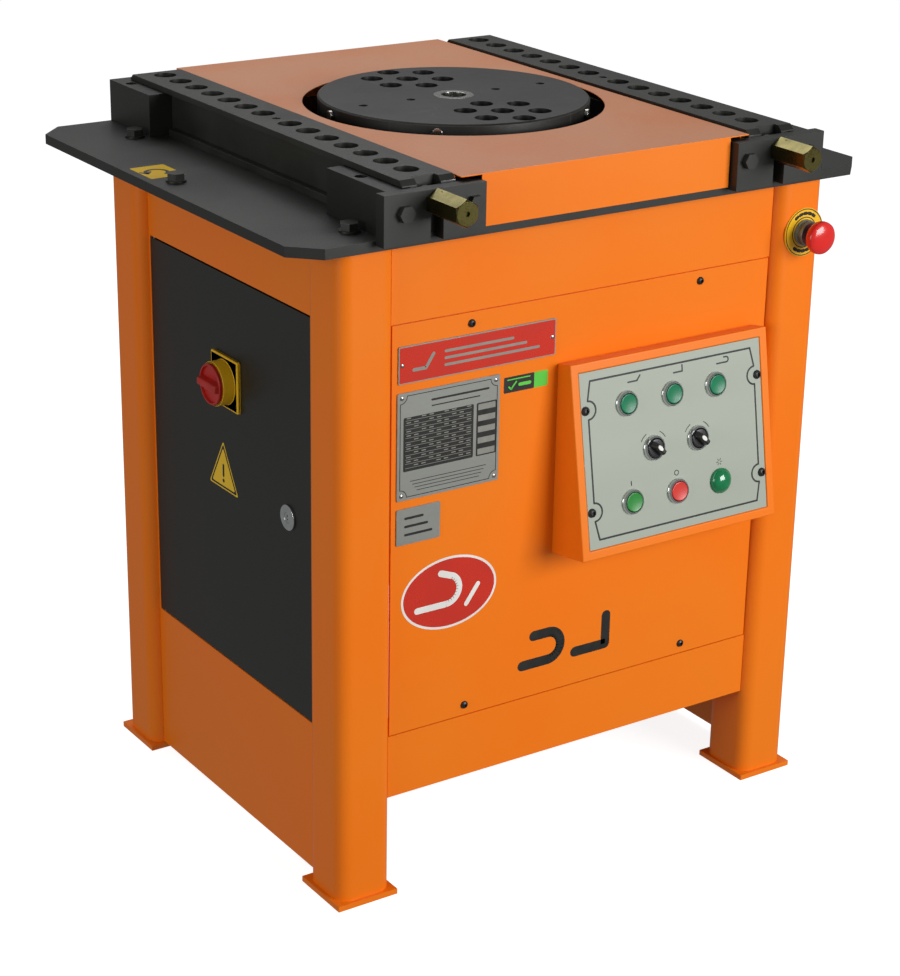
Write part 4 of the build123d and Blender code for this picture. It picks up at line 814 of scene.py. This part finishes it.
for n in range(4):
    stroke(
        dark, face, [(u0 + 18 + 3 * n, v0 + 22 - 4 * n), (u1 - 18 - 3 * n, v0 + 22 - 4 * n)],
        0.8, PLATE_T, INK_TOP,
    )
bend_sign(dark, face, u0 + 26, v1 - 22, 9, 90, 2.2)
for n in range(2):
    stroke(
        dark, face, [(u0 + 46, v1 - 14 - 7 * n), (u1 - 16 - 12 * n, v1 - 14 - 7 * n)],
        2.4 - n, PLATE_T, INK_TOP,
    )
u0m, v0m, u1m = outline(mark_box)[:3]
for n in range(3):
    stroke(
        dark, face,
        [(u0m + 12, v0m + 12 + 10 * n), (u1m - 12 - 6 * n, v0m + 12 + 10 * n)],
        3.0, PLATE_T, INK_TOP,
    )
piece("plate_ink", dark, ink_black, "cabinet")

TABLE_ROWS = 12
TABLE_COLUMNS = 9
lines = bmesh.new()
for n in range(TABLE_ROWS):
    v = v0 + tall * 0.30 + tall * 0.44 * n / (TABLE_ROWS - 1)
    slab(lines, face, u0 + wide * TABLE_U, v, wide * 0.64, 0.5, INK_TOP, 1.66)
    for k in range(TABLE_COLUMNS):
        if (n + k) % 3:
            slab(
                lines, face, u0 + wide * (0.11 + 0.073 * k), v + tall * 0.02,
                wide * 0.042, 1.1, INK_TOP, 1.66,
            )
for n in range(5):
    v = v0 + tall * (0.31 + 0.105 * n)
    slab(lines, face, u0 + wide * COLUMN_U, v, wide * 0.17, tall * 0.055, INK_TOP, 1.7)
piece("data_plate_table", lines, ink_silver, "cabinet")

white = bmesh.new()
disc(white, face, um, vm, 66, 0, 0.16, 64, 0.68)
bar = [(um - 44, vm - 14), (um - 4, vm - 14)] + arc(um - 4, vm + 4, 18, -90, 60, 12)
bar += [(um - 12, vm + 26)]
stroke(white, face, bar, 8, 0.2, 0.36)
stroke(white, face, [(um + 24, vm - 20), (um + 40, vm + 2)], 6, 0.2, 0.36)
piece("oval_film_white", white, ink_white, "cabinet")

black = bmesh.new()
ua, va = on_cover(*MARK_AT)
hook = [(ua, va + 8), (ua + 38, va + 8)] + arc(ua + 38, va + 26, 18, -90, 90, 14)
hook += [(ua + 16, va + 44)]
corner = [(ua + 78, va + 8), (ua + 124, va + 8), (ua + 124, va + 46)]
for points in (hook, corner):
    stroke(black, face, points, 13, 0, 0.2)
piece("bend_symbols", black, ink_black, "cabinet")

check = bmesh.new()
uc, vc = on_cover(*CHECK_AT)
card(check, face, uc + 21, vc + 9.5, 42, 19, 0, 0.16)
piece("check_label_dark", check, ink_black, "cabinet")
tick = bmesh.new()
card(tick, face, uc + 51.5, vc + 9.5, 19, 19, 0, 0.16)
stroke(tick, face, [(uc + 7, vc + 7), (uc + 10, vc + 4), (uc + 17, vc + 12)], 2, 0.15, 0.26)
stroke(tick, face, [(uc + 5, vc + 15.5), (uc + 36, vc + 15.5)], 1.4, 0.15, 0.26)
stroke(tick, face, [(uc + 22, vc + 8), (uc + 36, vc + 8)], 4, 0.15, 0.26)
piece("check_label_green", tick, ink_green, "cabinet")

# ---------------------------------------------------------------- door

isolator_at = Vector(joints["isolator_turn"]["pos_m"])
door_x = isolator_at.x
door_face = facing(isolator_at, (0, -1, 0), (-1, 0, 0))


def triangle(shape, place, reach, top):
    """A thin upright triangle on a frame's XY plane, with rounded corners."""
    where = place @ Matrix.Translation((0, 0, top / 2 * MM))
    made = bmesh.ops.create_cone(
        shape, cap_ends=True, segments=3, radius1=reach * MM, radius2=reach * MM,
        depth=top * MM, matrix=where,
    )["verts"]
    out = (place.to_3x3() @ Vector((0, 0, 1))).normalized()
    upright = [
        edge for edge in shape.edges
        if edge.verts[0] in made and edge.verts[1] in made
        and abs((edge.verts[0].co - edge.verts[1].co).normalized().dot(out)) > 0.9
    ]
    bmesh.ops.bevel(
        shape, geom=upright, offset=3.5 * MM, segments=4, affect="EDGES", profile=0.5,
        material=-1,
    )


sign_face = facing((door_x, 18 * MM, 449 * MM), (0, -1, 0), (-1, 0, 0))
for name, reach, top, ink in (
    ("triangle_yellow", 41, 0.2, ink_yellow),
    ("triangle_black", 37.5, 0.3, ink_black),
    ("triangle_inner", 32.5, 0.4, ink_yellow),
):
    film = bmesh.new()
    triangle(film, sign_face, reach, top)
    piece(name, film, ink, "door")
film = bmesh.new()
stroke(film, sign_face, [(0, 10), (0, -3)], 4.2, 0.35, 0.5)
disc(film, sign_face, 0, -9.5, 2.5, 0.35, 0.5, 16)
piece("triangle_mark", film, ink_black, "door")

# isolator: a square plate with a round collar, and a red disc with a bar across it
base_low, base_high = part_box("isolator_base")
boss_t = (door_x - base_low.x) / MM
grip_t = (door_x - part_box("isolator_handle")[0].x) / MM
plate_t = 5.0
half = (base_high.z - base_low.z) / 2 / MM
base = bmesh.new()
slab(base, door_face, 0, 0, 2 * half, 2 * half, 0, plate_t)
round_edges(base, 1.6, 3)
turned(
    base, door_face,
    [(4.6, plate_t - 1), (27, plate_t - 1), (27, boss_t - 0.8), (26.4, boss_t),
     (25.4, boss_t), (25.4, boss_t - 2.5), (4.6, boss_t - 2.5), (4.6, plate_t - 1)],
    56,
)
piece("isolator_plate", close_up(base), yellow_moulding, "door", ("isolator_base",))
grip = bmesh.new()
turned(
    grip, door_face,
    [(0, -26), (4.4, -26), (4.4, boss_t - 2.2), (24.6, boss_t - 2.2), (25, boss_t - 1.6),
     (25, boss_t + 3.6), (24.2, boss_t + 4.6), (22.6, boss_t + 4.6), (21.6, boss_t + 1.6),
     (0, boss_t + 1.2)],
    56,
)
close_up(grip)
grip_bar(grip, door_face, 47, 13, boss_t + 0.6, grip_t, (0.94, 0.66), 1.8)
piece("isolator_grip", grip, red_handle, "isolator", ("isolator_handle",), 30)
ticks = bmesh.new()
for turn_at in (90, 180):
    spots = arc(0, 0, 29.2, turn_at - 4, turn_at + 4, 4)
    stroke(ticks, door_face, spots, 1.4, plate_t, plate_t + 0.14)
piece("isolator_ticks", ticks, ink_black, "door")

# ---------------------------------------------------------------- emergency stop

stop = Vector(joints["emergency_release"]["pos_m"])
stop_face = facing(stop, (1, 0, 0), (0, -1, 0))
label = bmesh.new()
turned(
    label, stop_face,
    [(10, 0), (29.6, 0), (30, 0.3), (30, 1.1), (29.6, 1.5), (10, 1.5), (10, 0)], 64,
)
piece("stop_label", close_up(label), yellow_moulding, "cabinet", ("estop_label",))
rings = bmesh.new()
LABEL_T = 1.5
for r in (28.4, 18.4):
    turned(
        rings, stop_face,
        [(r - 0.6, LABEL_T), (r + 0.6, LABEL_T), (r + 0.6, 1.66), (r - 0.6, 1.66),
         (r - 0.6, LABEL_T)],
        64,
    )
for side_at in (90, 270):
    for step in range(-2, 3):
        dash_at = side_at + 17 * step
        dash = arc(0, 0, 23.2, dash_at - 4, dash_at + 4, 3)
        stroke(rings, stop_face, dash, 4.2, LABEL_T, 1.64)
piece("stop_label_print", close_up(rings), ink_black, "cabinet")
collar = bmesh.new()
turned(
    collar, stop_face,
    [(8.1, -30), (10, -30), (10, 1.5), (16, 1.5), (16, 4.5), (15.2, 5.2), (14.6, 5.2),
     (14.6, 6.6), (15.2, 6.6), (15.2, 8.4), (14.4, 8.4), (14.4, 9.8), (15, 9.8), (15, 12.6),
     (14.2, 13.5), (8.1, 13.5), (8.1, -30)],
    48,
)
piece("stop_collar", close_up(collar), galvanised, "cabinet", ("estop_collar",), 30)
head_low, head_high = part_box("estop_head")
back = (stop.y - head_high.y) / MM
front = (stop.y - head_low.y) / MM
head = bmesh.new()
turned(
    head, stop_face,
    [(4.2, back), (15.5, back), (17.5, back + 1.2), (19.4, back + 4), (20, back + 6.5),
     (20, front - 7), (19.5, front - 5), (18, front - 3.2), (14, front - 1.4),
     (8, front - 0.3), (0, front), (0, back + 9), (4.2, back + 9), (4.2, back)],
    64,
)
piece("stop_head", close_up(head), red_gloss, "emergency_head", ("estop_head",), 40)
repaint(black_moulding, "estop_stem")

# ---------------------------------------------------------------- deck sticker

deck_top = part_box("base_plate")[1].z
deck = facing((-0.3655, 0.0935, deck_top), (1, 0, 0), (0, 0, 1))
film = bmesh.new()
card(film, deck, 0, 0, 44, 57, 0, 0.2, 2)
piece("arrow_label", film, ink_yellow, "cabinet")
film = bmesh.new()
stroke(film, deck, arc(-2, -2, 13, -60, 190, 18), 4.5, 0.2, 0.32)
stroke(film, deck, [(-20, 4), (-15, -5), (-8, 3)], 3.5, 0.2, 0.32)
piece("arrow_label_ink", film, ink_black, "cabinet")

# ---------------------------------------------------------------- camera, floor and light

CAMERA_AT = Vector((-1.6024, -2.3608, 1.4893))
LENS_MM = 88.33
SENSOR_MM = 36
SHIFT_X = -0.0013
SHIFT_Y = -0.0006
AZIMUTH = math.radians(34.03)
ELEVATION = math.radians(21.42)
ROLL = math.radians(1.01)
forward = Vector((
    math.sin(AZIMUTH) * math.cos(ELEVATION),
    math.cos(AZIMUTH) * math.cos(ELEVATION),
    -math.sin(ELEVATION),
))
right = Vector((math.cos(AZIMUTH), -math.sin(AZIMUTH), 0))
up = right.cross(forward)
right_rolled = right * math.cos(ROLL) + up * math.sin(ROLL)
up_rolled = up * math.cos(ROLL) - right * math.sin(ROLL)
eye = bpy.data.cameras.new("camera")
eye.sensor_width = SENSOR_MM
eye.lens = LENS_MM
eye.shift_x = SHIFT_X
eye.shift_y = SHIFT_Y
camera = bpy.data.objects.new("camera", eye)
turn = Matrix((right_rolled, up_rolled, -forward)).transposed().to_4x4()
camera.matrix_world = Matrix.Translation(CAMERA_AT) @ turn
bpy.context.scene.collection.objects.link(camera)
bpy.context.scene.camera = camera

floor_shape = bmesh.new()
bmesh.ops.create_grid(floor_shape, x_segments=1, y_segments=1, size=30)
floor_mesh = bpy.data.meshes.new("floor")
floor_shape.to_mesh(floor_mesh)
floor_shape.free()
floor = bpy.data.objects.new("floor", floor_mesh)
bpy.context.scene.collection.objects.link(floor)
floor_material = surface(
    "matt_white_floor",
    {"Base Color": linear("B8B8B8"), "Roughness": 0.9, "Specular IOR Level": 0.0,
     "Emission Color": (1, 1, 1, 1), "Emission Strength": 0.88},
)[0]
floor.visible_diffuse = False
floor.visible_glossy = False
floor.data.materials.append(floor_material)


def soft_light(name, at, aim, wide, tall, power):
    """One large soft white light."""
    lamp = bpy.data.lights.new(name, "AREA")
    lamp.shape = "RECTANGLE"
    lamp.size = wide
    lamp.size_y = tall
    lamp.energy = power
    made = bpy.data.objects.new(name, lamp)
    made.location = at
    made.rotation_euler = (Vector(aim) - Vector(at)).to_track_quat("-Z", "Y").to_euler()
    bpy.context.scene.collection.objects.link(made)


soft_light("front_window", (1.3, -3.4, 1.5), (0, 0, 0.5), 2.0, 1.6, 118)
soft_light("left_window", (-3.4, -0.8, 1.2), (0, 0, 0.5), 1.6, 1.4, 34)
soft_light("ceiling", (0.4, 1.6, 3.0), (0, 0, 0.6), 2.2, 1.6, 34)

world = bpy.data.worlds.new("studio")
world.use_nodes = True
sky = world.node_tree.nodes["Background"]
sky.inputs["Color"].default_value = linear("FFFFFF")
sky.inputs["Strength"].default_value = 0.22
bpy.context.scene.world = world
bpy.context.scene.view_settings.view_transform = "Standard"
